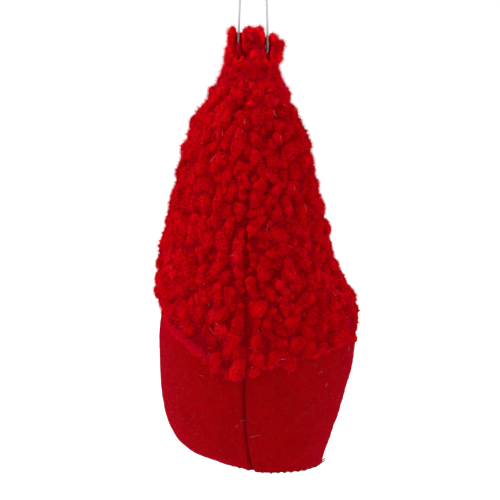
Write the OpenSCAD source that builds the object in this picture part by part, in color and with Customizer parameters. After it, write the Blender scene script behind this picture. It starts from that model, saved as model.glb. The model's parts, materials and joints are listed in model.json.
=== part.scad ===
// A hanging gnome: a stuffed felt sack under a cone hat of curly pile cloth, with a beard and a
// ball nose, swinging on a thin cord loop. The origin is the inside of the loop's top, where a
// hook holds it. +Z is up and the face looks along -Y.

/* [Figure] */
// Height of the figure from its base to the tip of the hat's cloth
figure_h = 149.5; // [140:0.5:160]
// Width of the sack at its widest
body_w = 67; // [60:1:74]
// Depth of the figure as a share of its width
roundness = 0.9; // [0.84:0.01:1]
// How far the sack and hat sit behind the hinge line, so that they hang upright
set_back = 1.2; // [0:0.05:4]

/* [Cloth] */
// Thickness of the felt
felt_t = 1.2; // [0.8:0.1:1.4]
// Thickness of the curly pile cloth, with its pile pressed down
pile_t = 3.2; // [2.6:0.1:3.6]
// Radius of the flat round bottom
base_r = 17; // [16:0.5:17.5]

/* [Beard and nose] */
// Height of the beard's point above the base
beard_tip_z = 11; // [8:1:24]
// Thickness of the beard's pile at its fullest
beard_t = 6.5; // [4:0.5:8]
// Diameter of the ball nose
nose_d = 14; // [11:0.5:16]

/* [Hanging loop] */
// Diameter of the cord
cord_d = 0.7; // [0.5:0.1:0.8]
// Height of the hinge line, where the cord crosses the hat's tip, above the base
hinge_z = 139.5; // [139:0.1:140]
// Radial play of the cord in the holes through the tip
cord_play = 0.07; // [0.03:0.01:0.1]

/* [Hidden] */

high = figure_h / 149.5;
wide = body_w / 67;
cord_r = cord_d / 2;
round_fn = 48;
facing = 48;

// Height of the loop's inner top above the base: the whole figure hangs this far below the origin
loop_z = 199;

// Outside of the sack up to its gathered neck: [height, half width, lean towards +X]
SACK = [
    [0, 18.2, -5], [1.4, 20.8, -2.9], [4, 23.4, -1.2], [8, 25.9, -0.4], [14, 28.1, 0.1],
    [21, 30.4, 0.2], [28, 32, -0.2], [36, 33.1, -1.1], [43, 33.3, -1.4], [50, 32, -0.8],
    [57, 30.1, 0.5], [63, 28.1, 1.5], [69, 25.9, 2.4], [73, 22.5, 2.5], [76, 15, 2.5],
    [78, 8.6, 2.5], [79.5, 6.2, 2.5], [81, 6.2, 2.5], [82.5, 7.4, 2.5], [84, 7.8, 2.5]
];
// Outside of the hat: [height, half width, lean towards +X]
HAT = [
    [30, 35.9, -1.3], [42, 36.2, -1.4], [50, 35.4, -0.8], [57, 34.5, 0.7], [63, 32.6, 1.7],
    [69, 30.6, 2.5], [76, 29, 2.5], [90, 26.2, 2.6], [104, 22.9, 2.5], [112, 20.6, 2.4],
    [119, 17.6, 2.1], [125, 13.8, 1.7], [130, 10.8, 1.2], [134, 7.6, 0.6], [137.5, 4.1, 0.1],
    [139.5, 3.4, 0], [145, 3.4, 0], [148, 2.9, 0], [149.5, 1.6, 0]
];
// Thickness of the hat's cloth at each height: it thins at the brim, and at the gathered tip
HAT_WALL = [
    [30, 2], [50, 2.1], [60, 2.7], [69, pile_t], [125, pile_t], [132, 2.4], [137.5, 1.1], [150, 1]
];
// How far the figure sits behind the hinge line at each height
BEHIND = [[0, set_back], [70, set_back], [105, set_back * 0.8], [134, 0.1], [139, 0], [150, 0]];
// Height of the hat's brim round the figure, by angle from +X: low at the back, high in front
BRIM = [
    [-120, 62], [-90, 64], [-45, 61.5], [0, 55.5], [38, 50.5], [54, 45.5], [78, 34.5], [96, 35],
    [130, 38.5], [164, 44.5], [205, 55], [240, 62], [270, 64], [315, 61.5]
];

brim_mean = 49;
hat_top = 149.5;
hat_hollow_top = 143.5;
glue_play = 0.15;
// The glue keeps further off the pile cloth, whose inside bends in flats
cloth_play = 0.3;
inside_gap = 0.95;
thread_r = 0.25;
back_seam = 84;
hat_seam = 85.5;

// Slope of a curve at its point i, from the points on both sides
function slope(curve, i) =
    let (a = max(i - 1, 0), b = min(i + 1, len(curve) - 1))
    (curve[b][1] - curve[a][1]) / (curve[b][0] - curve[a][0]);

// The stretch of a curve that holds x
function stretch(curve, x, i = 0) =
    i >= len(curve) - 2 || x <= curve[i + 1][0] ? i : stretch(curve, x, i + 1);

// Smooth value at x of a curve through [x, value] points
function smooth(curve, x) =
    let (
        i = stretch(curve, x),
        h = curve[i + 1][0] - curve[i][0],
        t = min(max((x - curve[i][0]) / h, 0), 1),
        t2 = t * t,
        t3 = t2 * t
    )
    (2 * t3 - 3 * t2 + 1) * curve[i][1] + (t3 - 2 * t2 + t) * h * slope(curve, i)
    + (3 * t2 - 2 * t3) * curve[i + 1][1] + (t3 - t2) * h * slope(curve, i + 1);

function column(stations, k) = [for (s = stations) [s[0], s[k]]];
SACK_HALF = column(SACK, 1);
SACK_LEAN = column(SACK, 2);
HAT_HALF = column(HAT, 1);
HAT_LEAN = column(HAT, 2);

// A point on an outline of half width w, moved in by inset, at an angle and a height
function on_outline(w, lean, z, angle, inset) =
    let (half = max(w * wide - inset, 0.3), depth = max(w * wide * flatten(z) - inset, 0.3))
    [
        lean * wide + half * cos(angle),
        smooth(BEHIND, z) + depth * sin(angle),
        z * high - loop_z * high
    ];

// The figure is flattened front to back, and turns round towards its tip and its round bottom
function flatten(z) = roundness + (1 - roundness) * min(max((z - 125) / 10, 1 - z / 6, 0), 1);

function on_sack(z, angle, inset = 0) =
    on_outline(smooth(SACK_HALF, z), smooth(SACK_LEAN, z), z, angle, inset);
function on_hat(z, angle, inset = 0) =
    on_outline(smooth(HAT_HALF, z), smooth(HAT_LEAN, z), z, angle, inset);

// Height on the hat over the brim, whose slant fades out towards the tip
function brim_at(angle) = smooth(BRIM, angle > 270 ? angle - 360 : angle);
function hat_height(z, angle, top) =
    z + (brim_at(angle) - brim_mean) * pow((top - z) / (top - brim_mean), 2);

function ring_angles() = [for (i = [0:facing - 1]) i * 360 / facing];
function spread(a, b, n) = [for (i = [0:n]) a + (b - a) * i / n];
// Heights from a to b, closer together towards b
function closing(a, b, n) = [for (i = [0:n]) a + (b - a) * (1 - pow(1 - i / n, 1.6))];

// A closed solid over a list of rings with the same number of points, capped at both ends by
// triangles that run from one side of the ring to the other
module skin(rings) {
    n = len(rings[0]);
    last = len(rings) - 1;
    sides = [
        for (j = [0:last - 1], i = [0:n - 1])
            let (k = (i + 1) % n)
            each [
                [j * n + i, (j + 1) * n + i, j * n + k],
                [j * n + k, (j + 1) * n + i, (j + 1) * n + k]
            ]
    ];
    first_cap = [
        for (i = [0:n / 2 - 2])
            let (far = n - 1 - i)
            each [[i, i + 1, far], [i + 1, far - 1, far]]
    ];
    last_cap = [for (t = first_cap) [last * n + t[2], last * n + t[1], last * n + t[0]]];
    polyhedron([for (ring = rings) each ring], concat(first_cap, sides, last_cap), convexity = 6);
}

// A solid like skin's whose last ring joins its first
module closed_skin(rings) {
    n = len(rings[0]);
    m = len(rings);
    polyhedron(
        [for (ring = rings) each ring],
        [
            for (j = [0:m - 1], i = [0:n - 1])
                let (k = (i + 1) % n, l = (j + 1) % m)
                each [[j * n + i, l * n + i, j * n + k], [j * n + k, l * n + i, l * n + k]]
        ],
        convexity = 6
    );
}

// A round tube along a path of points, with its rings square to the path
module tube(path, r, sides) {
    last = len(path) - 1;
    skin([
        for (j = [0:last])
            let (
                ahead = path[min(j + 1, last)] - path[max(j - 1, 0)],
                along = ahead / norm(ahead),
                side = cross(along, [0, 1, 0]) / norm(cross(along, [0, 1, 0])),
                up = cross(side, along)
            )
            [
                for (i = [0:sides - 1])
                    let (a = i * 360 / sides)
                    path[j] + r * (cos(a) * side + sin(a) * up)
            ]
    ]);
}

// Route of the loop from the hat's -X side over its top to the +X side, for half of it:
// [distance from the middle, height above the hinge line], listed from the tip up
LOOP_SIDE = [
    [4.2, 0], [4.65, 0.2], [4.98, 0.55], [5.15, 1.1], [5.15, 2], [5.1, 5], [5, 10], [4.7, 18],
    [4.3, 28], [3.9, 38], [3.5, 47], [3.25, 52], [3.1, 55.5], [2.9, 57], [2.5, 58.3],
    [1.9, 59.2], [1, 59.75], [0, 59.85]
];

module hanging_loop() {
    up = [for (p = LOOP_SIDE) [-p[0], 0, (hinge_z - loop_z) * high + p[1]]];
    down = [for (i = [len(up) - 2:-1:0]) [-up[i][0], 0, up[i][2]]];
    color("silver") tube(concat(up, down), cord_r, 8);
}

// The cord's stretch through the tip, with the overhand knot of its two ends in the hollow
module cord_knot() {
    color("silver") translate([0, 0, (hinge_z - loop_z) * high]) {
        rotate([0, 90, 0]) cylinder(r = cord_r, h = 8.4, center = true, $fn = 24);
        sphere(r = 1.25, $fn = round_fn);
    }
}

module hat_shell() {
    outer = concat(closing(brim_mean, 137.5, 20), [139.5, 145, 148, hat_top]);
    inner = closing(brim_mean, hat_hollow_top, 28);
    rings = concat(
        [
            for (j = [len(inner) - 1:-1:0])
                [
                    for (a = ring_angles())
                        let (z = hat_height(inner[j], a, hat_hollow_top))
                        on_hat(z, a, smooth(HAT_WALL, z))
                ]
        ],
        [for (h = outer) [for (a = ring_angles()) on_hat(hat_height(h, a, hat_top), a)]]
    );
    color("crimson") difference() {
        skin(rings);
        translate([0, 0, (hinge_z - loop_z) * high])
            rotate([0, 90, 0]) cylinder(r = cord_r + cord_play, h = 20, center = true, $fn = 32);
    }
}

// Stitches along the inside of the hat's back seam
module hat_seam_thread() {
    color("firebrick") tube(
        [for (z = spread(89, 128, 26)) on_hat(z, hat_seam, smooth(HAT_WALL, z) + 0.42)], thread_r, 6
    );
}

module hat_stuffing() {
    color("white") skin([
        for (z = spread(86, 131, 12))
            [for (a = ring_angles()) on_hat(z, a, smooth(HAT_WALL, z) + inside_gap)]
    ]);
}

// Glue between the sack and the hat, in a ring a little above the brim
module hat_glue() {
    color("ivory") closed_skin([
        for (a = ring_angles())
            concat(
                [for (rise = [4, 6, 8]) on_sack(glue_height(rise, a), a, -glue_play)],
                [
                    for (rise = [8, 6, 4])
                        let (z = glue_height(rise, a))
                        on_hat(z, a, smooth(HAT_WALL, z) + cloth_play)
                ]
            )
    ]);
}

function glue_height(rise, angle) = hat_height(brim_mean + rise, angle, hat_hollow_top);

module body_shell() {
    outer = concat([0, 1.4, 4, 8], spread(13, 69, 12), [71.5, 74, 76, 78, 79.5, 81, 82.5, 84]);
    inner = concat([felt_t, 3.5], spread(8, 69, 11), [72, 74.3, 75.5]);
    color("crimson") difference() {
        skin(concat(
            [
                for (j = [len(inner) - 1:-1:0])
                    [for (a = ring_angles()) on_sack(inner[j], a, felt_t + 1.6 * slant(inner[j]))]
            ],
            [for (z = outer) [for (a = ring_angles()) on_sack(z, a)]]
        ));
        translate([0, 0, -loop_z * high]) bottom_disc(base_r, felt_t * 2);
    }
}

// The sack's wall leans at its shoulder and at its bottom edge, where an inset has to be deeper
function slant(z) = z > 66 ? min((z - 66) / 7, 1.6) : max((6 - z) / 6, 0);

// A disc in the sack's flat bottom, standing on z = 0
module bottom_disc(r, h) {
    translate([SACK[0][2] * wide, set_back, 0]) cylinder(r = r, h = h, $fn = round_fn);
}

module body_seam_thread() {
    color("firebrick") tube(
        [for (z = spread(7, 64, 24)) on_sack(z, back_seam, felt_t + 0.4)], thread_r, 6
    );
}

// Thread wound round the sack's gathered neck
module body_gather_thread() {
    middle = 80.2;
    neck = smooth(SACK_HALF, 79.5) * wide;
    place = [smooth(SACK_LEAN, middle) * wide, smooth(BEHIND, middle), (middle - loop_z) * high];
    color("firebrick") translate(place)
        rotate_extrude($fn = round_fn) translate([neck + 0.55, 0]) circle(r = 0.45, $fn = 16);
}

module body_stuffing() {
    color("white") skin([
        for (z = concat([3.2, 5.5], spread(9, 64, 11), [67, 70, 72.3]))
            [for (a = ring_angles()) on_sack(z, a, felt_t + inside_gap + 2 * slant(z))]
    ]);
}

module base_panel() {
    color("crimson") translate([0, 0, -loop_z * high]) bottom_disc(base_r, felt_t);
}

module base_seam_thread() {
    color("firebrick") translate([SACK[0][2] * wide, set_back, -loop_z * high + felt_t + thread_r])
        rotate_extrude($fn = round_fn) translate([base_r - 0.7, 0]) circle(r = thread_r, $fn = 16);
}

module base_stiffener() {
    color("tan") translate([0, 0, -loop_z * high + felt_t]) bottom_disc(base_r - 1.2, 1.5);
}

// The beard's half width as an angle, its top and its thickness, from its top (0) to its point (1)
BEARD_ANGLE = [[0, 44], [0.25, 43], [0.5, 36], [0.75, 24], [0.9, 13], [1, 5]];
BEARD_THICK = [[0, 0.5], [0.15, 0.85], [0.5, 1], [0.8, 0.75], [1, 0.3]];
beard_gap = 0.5;

function beard_height(t, angle) =
    let (top = brim_at(angle) - 1.2) top + (beard_tip_z - top) * t;

// A point on the beard, u from -1 to 1 across it and out from 0 at the felt to 1 at the pile's face
function on_beard(t, u, out) =
    let (
        angle = 270 + u * smooth(BEARD_ANGLE, t),
        z = beard_height(t, angle),
        full = beard_t * smooth(BEARD_THICK, t) * (0.25 + 0.75 * sqrt(1 - 0.98 * u * u)),
        hang = max(t - 0.55, 0) * 4
    )
    on_sack(z, angle, -beard_gap - out * full - hang);

// The nose sits under the brim, in a pocket that it presses into the beard
nose_r = nose_d / 2;
nose_sunk = 3.4;
nose_middle = on_beard(0.11, 0, 1) + [0, nose_sunk - nose_r, 0];
pocket_play = 0.1;

module beard() {
    across = spread(-1, 1, 14);
    color("snow") difference() {
        skin([
            for (t = spread(0, 1, 16))
                concat(
                    [for (u = across) on_beard(t, u, 1)],
                    [for (i = [len(across) - 1:-1:0]) on_beard(t, across[i], 0)]
                )
        ]);
        translate(nose_middle) sphere(r = nose_r + pocket_play, $fn = 96);
        translate(nose_middle) glue_pin(2.6, nose_r + 1);
    }
}

// A short cylinder that runs from a ball's middle into the beard
module glue_pin(r, h) {
    rotate([-90, 0, 0]) cylinder(r = r, h = h, $fn = 96);
}

module beard_glue() {
    across = spread(-0.7, 0.7, 8);
    color("ivory") skin([
        for (t = spread(0.05, 0.45, 6))
            concat(
                [for (u = across) on_glue(t, u, beard_gap - glue_play)],
                [for (i = [len(across) - 1:-1:0]) on_glue(t, across[i], glue_play)]
            )
    ]);
}

function on_glue(t, u, out) =
    let (angle = 270 + u * smooth(BEARD_ANGLE, t), z = beard_height(t, angle))
    on_sack(z, angle, -out);

module nose_bead() {
    color("burlywood") translate(nose_middle) sphere(r = nose_r, $fn = 96);
}

module nose_glue() {
    color("ivory") translate(nose_middle) difference() {
        glue_pin(2.5, nose_r + 0.9);
        sphere(r = nose_r + 0.02, $fn = 96);
    }
}

hanging_loop();
cord_knot();
hat_shell();
hat_seam_thread();
hat_stuffing();
hat_glue();
body_shell();
body_seam_thread();
body_gather_thread();
body_stuffing();
base_panel();
base_seam_thread();
base_stiffener();
beard();
beard_glue();
nose_bead();
nose_glue();
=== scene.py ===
import json
import math

import bpy
import numpy as np
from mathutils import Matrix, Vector

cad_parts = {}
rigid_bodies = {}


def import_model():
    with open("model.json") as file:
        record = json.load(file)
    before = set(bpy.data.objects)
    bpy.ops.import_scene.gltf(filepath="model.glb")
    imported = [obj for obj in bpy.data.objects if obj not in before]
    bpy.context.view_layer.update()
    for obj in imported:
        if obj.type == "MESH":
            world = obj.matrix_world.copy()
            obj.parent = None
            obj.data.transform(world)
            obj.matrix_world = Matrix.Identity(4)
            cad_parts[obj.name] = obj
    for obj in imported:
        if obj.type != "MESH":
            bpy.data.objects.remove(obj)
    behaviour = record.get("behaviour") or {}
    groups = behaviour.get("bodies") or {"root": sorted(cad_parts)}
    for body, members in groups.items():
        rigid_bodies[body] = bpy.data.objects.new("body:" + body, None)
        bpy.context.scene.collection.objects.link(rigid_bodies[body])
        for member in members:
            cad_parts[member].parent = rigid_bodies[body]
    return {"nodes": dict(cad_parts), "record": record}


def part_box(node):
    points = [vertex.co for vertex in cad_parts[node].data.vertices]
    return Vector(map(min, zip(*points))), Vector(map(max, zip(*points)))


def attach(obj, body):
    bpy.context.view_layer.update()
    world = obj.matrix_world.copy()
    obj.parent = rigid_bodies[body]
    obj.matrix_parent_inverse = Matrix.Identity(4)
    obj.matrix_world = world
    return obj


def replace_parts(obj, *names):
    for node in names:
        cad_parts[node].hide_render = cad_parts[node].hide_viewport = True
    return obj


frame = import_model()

# Looks of a hanging felt gnome. Metres, +Z up, the face towards -Y, the hook at the origin.

MM = 0.001
TAU = 2 * math.pi
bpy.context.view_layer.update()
record = frame["record"]
swing = record["behaviour"]["joints"][0]
GNOME = swing["child"]
LOOP = swing["parent"]
HINGE_Z = swing["pos_m"][2]
BASE_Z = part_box("base_panel")[0][2]
TIP_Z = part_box("hat_shell")[1][2]
AXIS = np.array([0.5 * MM, 0.8 * MM])


# ---------------------------------------------------------------- camera and light

VIEW_WIDTH = 0.170
CAMERA_DISTANCE = 0.9
CAMERA_LIFT = math.radians(10)
AIM = Vector((0.0014, 0, BASE_Z + 0.0728))
SENSOR = 36
SKY_STRENGTH = 1.04


def put(name, data):
    """A new object in the scene."""
    made = bpy.data.objects.new(name, data)
    bpy.context.collection.objects.link(made)
    return made


def make_camera():
    data = bpy.data.cameras.new("camera")
    data.sensor_width = SENSOR
    data.lens = SENSOR * CAMERA_DISTANCE / VIEW_WIDTH
    camera = put("camera", data)
    back = Vector((0, math.cos(CAMERA_LIFT), math.sin(CAMERA_LIFT)))
    camera.location = AIM + back * CAMERA_DISTANCE
    camera.rotation_mode = "QUATERNION"
    camera.rotation_quaternion = (-back).to_track_quat("-Z", "Y")
    bpy.context.scene.camera = camera


def area_light(name, place, size, power):
    data = bpy.data.lights.new(name, "AREA")
    data.size = size
    data.energy = power
    light = put(name, data)
    light.location = AIM + Vector(place)
    light.rotation_mode = "QUATERNION"
    light.rotation_quaternion = Vector(place).to_track_quat("Z", "Y")


def make_studio():
    world = bpy.data.worlds.new("studio")
    bpy.context.scene.world = world
    world.use_nodes = True
    background = world.node_tree.nodes["Background"]
    background.inputs["Color"].default_value = (1, 1, 1, 1)
    background.inputs["Strength"].default_value = SKY_STRENGTH
    bpy.context.scene.view_settings.view_transform = "Standard"
    area_light("key", (0.72, 0.3, 0.85), 0.5, 8.0)
    area_light("side", (-0.8, 0.05, 0.3), 0.5, 1.0)
    area_light("front_key", (-0.35, -0.75, 0.5), 0.6, 3.6)


# ---------------------------------------------------------------- mesh helpers

RAY = 0.08


def add_piece(name, points, quads, tris, material, slot, body=GNOME):
    """A mesh object from arrays, riding on a body."""
    mesh = bpy.data.meshes.new(name)
    quads = np.asarray(quads, dtype=np.int32).reshape(-1, 4)
    tris = np.asarray(tris, dtype=np.int32).reshape(-1, 3)
    mesh.vertices.add(len(points))
    mesh.vertices.foreach_set("co", np.asarray(points, dtype=np.float32).ravel())
    corners = np.concatenate([quads.ravel(), tris.ravel()])
    mesh.loops.add(len(corners))
    mesh.loops.foreach_set("vertex_index", corners)
    quad_starts = np.arange(len(quads)) * 4
    tri_starts = len(quads) * 4 + np.arange(len(tris)) * 3
    starts = np.concatenate([quad_starts, tri_starts]).astype(np.int32)
    mesh.polygons.add(len(starts))
    mesh.polygons.foreach_set("loop_start", starts)
    mesh.polygons.foreach_set("use_smooth", np.ones(len(starts), dtype=bool))
    mesh.update(calc_edges=True)
    mesh.validate()
    mesh.materials.append(material)
    piece = put(name, mesh)
    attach(piece, body)
    return piece


def unit(v):
    return v / np.maximum(np.linalg.norm(v, axis=-1, keepdims=True), 1e-12)


def ring_of(count):
    """The numbers of the points of a ring, and of the point after each."""
    i = np.arange(count)
    return i, (i + 1) % count


def frame_of(paths, across):
    """Directions along paths (n, k, 3), and the two at right angles to them nearest to across."""
    along = unit(np.gradient(paths, axis=1))
    side = unit(np.cross(along, across[:, None, :]))
    return along, side, np.cross(side, along)


def ring_points(middles, r, turn, side, up):
    """Points at distance r round middles, at the angles turn between side and up."""
    return (
        middles[..., None, :]
        + (r * np.cos(turn))[..., None] * side[..., None, :]
        + (r * np.sin(turn))[..., None] * up[..., None, :]
    )


def copies(quads, tris, n, per):
    """Faces of n like meshes of per points each."""
    offset = (np.arange(n) * per)[:, None, None]
    return (quads.reshape(1, -1, 4) + offset).reshape(-1, 4), (tris[None] + offset).reshape(-1, 3)


def tube_ends(sides, top, last):
    """Triangles that shut a tube from point 0 and from point last, its last ring starting at top."""
    i, j = ring_of(sides)
    start = np.stack([np.zeros(sides, int), 1 + i, 1 + j], axis=-1)
    end = np.stack([np.full(sides, last), top + j, top + i], axis=-1)
    return np.concatenate([start, end])


def tubes(paths, radii, across, sides, lobes=0.0, twist=0.0, phase=None):
    """Closed tubes along paths (n, k, 3) of radius (n, k), their rings laid out from the
    directions across (n, 3), with three lobes that turn by twist from ring to ring."""
    n, k, _ = paths.shape
    along, side, up = frame_of(paths, across)
    turn = np.arange(sides) * TAU / sides
    phase = np.zeros(n) if phase is None else phase
    wave = 3 * turn + twist * np.arange(k)[:, None] + phase[:, None, None]
    r = radii[:, :, None] * (1 + lobes * np.cos(wave))
    rings = ring_points(paths, r, turn, side, up)
    first = paths[:, :1] - along[:, :1] * radii[:, :1, None] * 0.5
    last = paths[:, -1:] + along[:, -1:] * radii[:, -1:, None] * 0.5
    points = np.concatenate([first, rings.reshape(n, -1, 3), last], axis=1)
    per = points.shape[1]
    i, j = ring_of(sides)
    ring = 1 + np.arange(k - 1)[:, None] * sides
    one = np.stack([ring + i, ring + sides + i, ring + sides + j, ring + j], axis=-1)
    ends = tube_ends(sides, 1 + (k - 1) * sides, per - 1)
    return points.reshape(-1, 3), *copies(one, ends, n, per)


def spikes(paths, radii, across):
    """Closed three-sided hairs along paths (n, k, 3) of radius (n, k), each drawn to a point."""
    n, k, _ = paths.shape
    _, side, up = frame_of(paths, across)
    turn = np.arange(3) * TAU / 3
    rings = ring_points(paths[:, :-1], radii[:, :-1, None], turn, side[:, :-1], up[:, :-1])
    points = np.concatenate([rings.reshape(n, -1, 3), paths[:, -1:]], axis=1)
    per = spike_points(k)
    i, j = ring_of(3)
    ring = np.arange(k - 2)[:, None] * 3
    one = np.stack([ring + i, ring + 3 + i, ring + 3 + j, ring + j], axis=-1)
    top = 3 * (k - 2)
    end = np.stack([np.full(3, per - 1), top + j, top + i], axis=-1)
    shut = np.concatenate([[[0, 1, 2]], end])
    return points.reshape(-1, 3), *copies(one, shut, n, per)


def spike_points(k):
    return 3 * (k - 1) + 1


def lumps(points, size, seed, octaves=2):
    """Smooth noise, mostly between -1 and 1, at points, with lumps about size metres across."""
    rng = np.random.default_rng(seed)
    total = np.zeros(len(points))
    scale = 1.0
    for _ in range(octaves):
        waves = rng.normal(size=(10, 3)) * TAU / (size * scale * 2.2)
        shift = rng.uniform(0, TAU, 10)
        total += np.sin(points @ waves.T + shift).sum(axis=1) / 4.5 * scale
        scale *= 0.5
    return total


def grid_faces(rows, columns, around=True):
    """Quads of a grid of rows * columns points, closed round its columns unless told otherwise."""
    i = np.arange(rows - 1)[:, None]
    j = np.arange(columns if around else columns - 1)[None, :]
    k = (j + 1) % columns
    return np.stack(
        [i * columns + j, i * columns + k, (i + 1) * columns + k, (i + 1) * columns + j],
        axis=-1,
    ).reshape(-1, 4)


def turned(rings):
    """A closed solid from rings of points, shut inside its first and its last ring."""
    columns = len(rings[0])
    points = np.concatenate(rings)
    last = len(points) - columns
    i, j = ring_of(columns)
    low = np.stack([np.full(columns, len(points)), j, i], axis=-1)
    high = np.stack([np.full(columns, len(points) + 1), last + i, last + j], axis=-1)
    middles = [points[:columns].mean(axis=0), points[last:].mean(axis=0)]
    quads = grid_faces(len(rings), columns)
    return np.concatenate([points, middles]), quads, np.concatenate([low, high])


def joined(meshes):
    """Several (points, quads, tris) as one."""
    points, quads, tris, count = [], [], [], 0
    for p, q, t in meshes:
        points.append(p)
        quads.append(np.asarray(q).reshape(-1, 4) + count)
        tris.append(np.asarray(t).reshape(-1, 3) + count)
        count += len(p)
    return np.concatenate(points), np.concatenate(quads), np.concatenate(tris)


def angle_of(points):
    """The angle of points round the figure's axis."""
    return np.arctan2(points[:, 1] - AXIS[1], points[:, 0] - AXIS[0])


def node_points(node):
    return np.array([v.co for v in frame["nodes"][node].data.vertices])


def heights_of(node):
    """The lowest and the highest point of a CAD node."""
    return [corner[2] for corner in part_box(node)]


def middle_and_radius(node):
    """The middle of a round CAD node's box, and half its width."""
    low, high = (np.array(corner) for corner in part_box(node))
    return (low + high) / 2, (high[0] - low[0]) / 2


class Skin:
    """The outside of a CAD node as distances from an upright axis, smoothed over its facets."""

    ANGLES = 240
    STEP = 0.5 * MM
    SMOOTH_ROUND = 14
    SMOOTH_UP = 3

    def __init__(self, node, low, high, floor=None):
        shape = frame["nodes"][node]
        self.low = low
        self.heights = np.arange(low, high, self.STEP)
        turns = np.arange(self.ANGLES) * TAU / self.ANGLES
        self.floor = np.full(self.ANGLES, low) if floor is None else floor(turns)
        r = np.zeros((len(self.heights), self.ANGLES))
        for j, a in enumerate(turns):
            way = Vector((-math.cos(a), -math.sin(a), 0))
            for i, z in enumerate(self.heights):
                z = max(z, self.floor[j] + 0.3 * MM)
                start = Vector((AXIS[0], AXIS[1], z)) - way * RAY
                hit, place, _, _ = shape.ray_cast(start, way, distance=RAY)
                r[i, j] = RAY - (place - start).length if hit else np.nan
        for column in r.T:
            first = np.flatnonzero(~np.isnan(column))[0]
            column[:first] = column[first]
        r = np.where(np.isnan(r), 0.3 * MM, r)
        for _ in range(self.SMOOTH_ROUND):
            r = (np.roll(r, 1, axis=1) + 2 * r + np.roll(r, -1, axis=1)) / 4
        for _ in range(self.SMOOTH_UP):
            edge = np.concatenate([r[:1], r, r[-1:]])
            r = (edge[:-2] + 2 * r + edge[2:]) / 4
        self.r = r

    def radius(self, a, z):
        x = (np.asarray(a) / TAU % 1) * self.ANGLES
        i = np.floor(x).astype(int)
        f = x - i
        i0, i1 = i % self.ANGLES, (i + 1) % self.ANGLES
        y = np.clip((np.asarray(z) - self.low) / self.STEP, 0, len(self.heights) - 1.001)
        j = np.floor(y).astype(int)
        g = y - j
        lower = self.r[j, i0] * (1 - f) + self.r[j, i1] * f
        upper = self.r[j + 1, i0] * (1 - f) + self.r[j + 1, i1] * f
        return lower * (1 - g) + upper * g

    def on(self, a, z):
        r = self.radius(a, z)
        a, z = np.broadcast_arrays(a, z)
        return np.stack([AXIS[0] + r * np.cos(a), AXIS[1] + r * np.sin(a), z + 0 * r], axis=-1)

    def normal(self, a, z, step=1.5 * MM):
        turn = step / np.maximum(self.radius(a, z), 2 * MM)
        east = self.on(a + turn, z) - self.on(a - turn, z)
        up = self.on(a, z + step) - self.on(a, z - step)
        return unit(np.cross(east, up))

    def place(self, a, z, out):
        """Points at angle a and height z, out metres proud of the skin."""
        return self.on(a, z) + self.normal(a, z) * np.asarray(out)[..., None]


def brim_of(node):
    """The height of a node's lower edge as a smooth function of the angle."""
    points = node_points(node)
    turn = angle_of(points) % TAU
    bins = 48
    which = (turn / TAU * bins).astype(int) % bins
    lows = np.array([points[which == b, 2].min() for b in range(bins)])
    for _ in range(2):
        lows = (np.roll(lows, 1) + 2 * lows + np.roll(lows, -1)) / 4
    middles = (np.arange(bins) + 0.5) * TAU / bins

    def brim(a):
        return np.interp(np.asarray(a) % TAU, middles, lows, period=TAU)

    return brim


# How far the pile's edge hangs below the hat's plain brim: angle in degrees, millimetres
BRIM_SWAY = [
    (-180, -1.3), (-130, 0), (-60, 0), (-35, -3), (-10, -6), (5, -6.5), (18, -5.2), (26, -2.2), (33, 1.2),
    (40, 2.4), (50, 3.2), (65, 2.6), (77, 1.2), (84, -1), (91, -3), (99, -4.6), (107, -4.8), (117, -5.2),
    (125, -5.4), (133, -4.6), (146, -4.3), (160, -2.8), (172, -1.6), (180, -1.3),
]


def pile_brim(a):
    """The height of the pile's lower edge."""
    degrees = (np.degrees(np.asarray(a)) + 180) % 360 - 180
    return brim(a) - np.interp(degrees, *np.transpose(BRIM_SWAY)) * MM


# ---------------------------------------------------------------- materials


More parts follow.
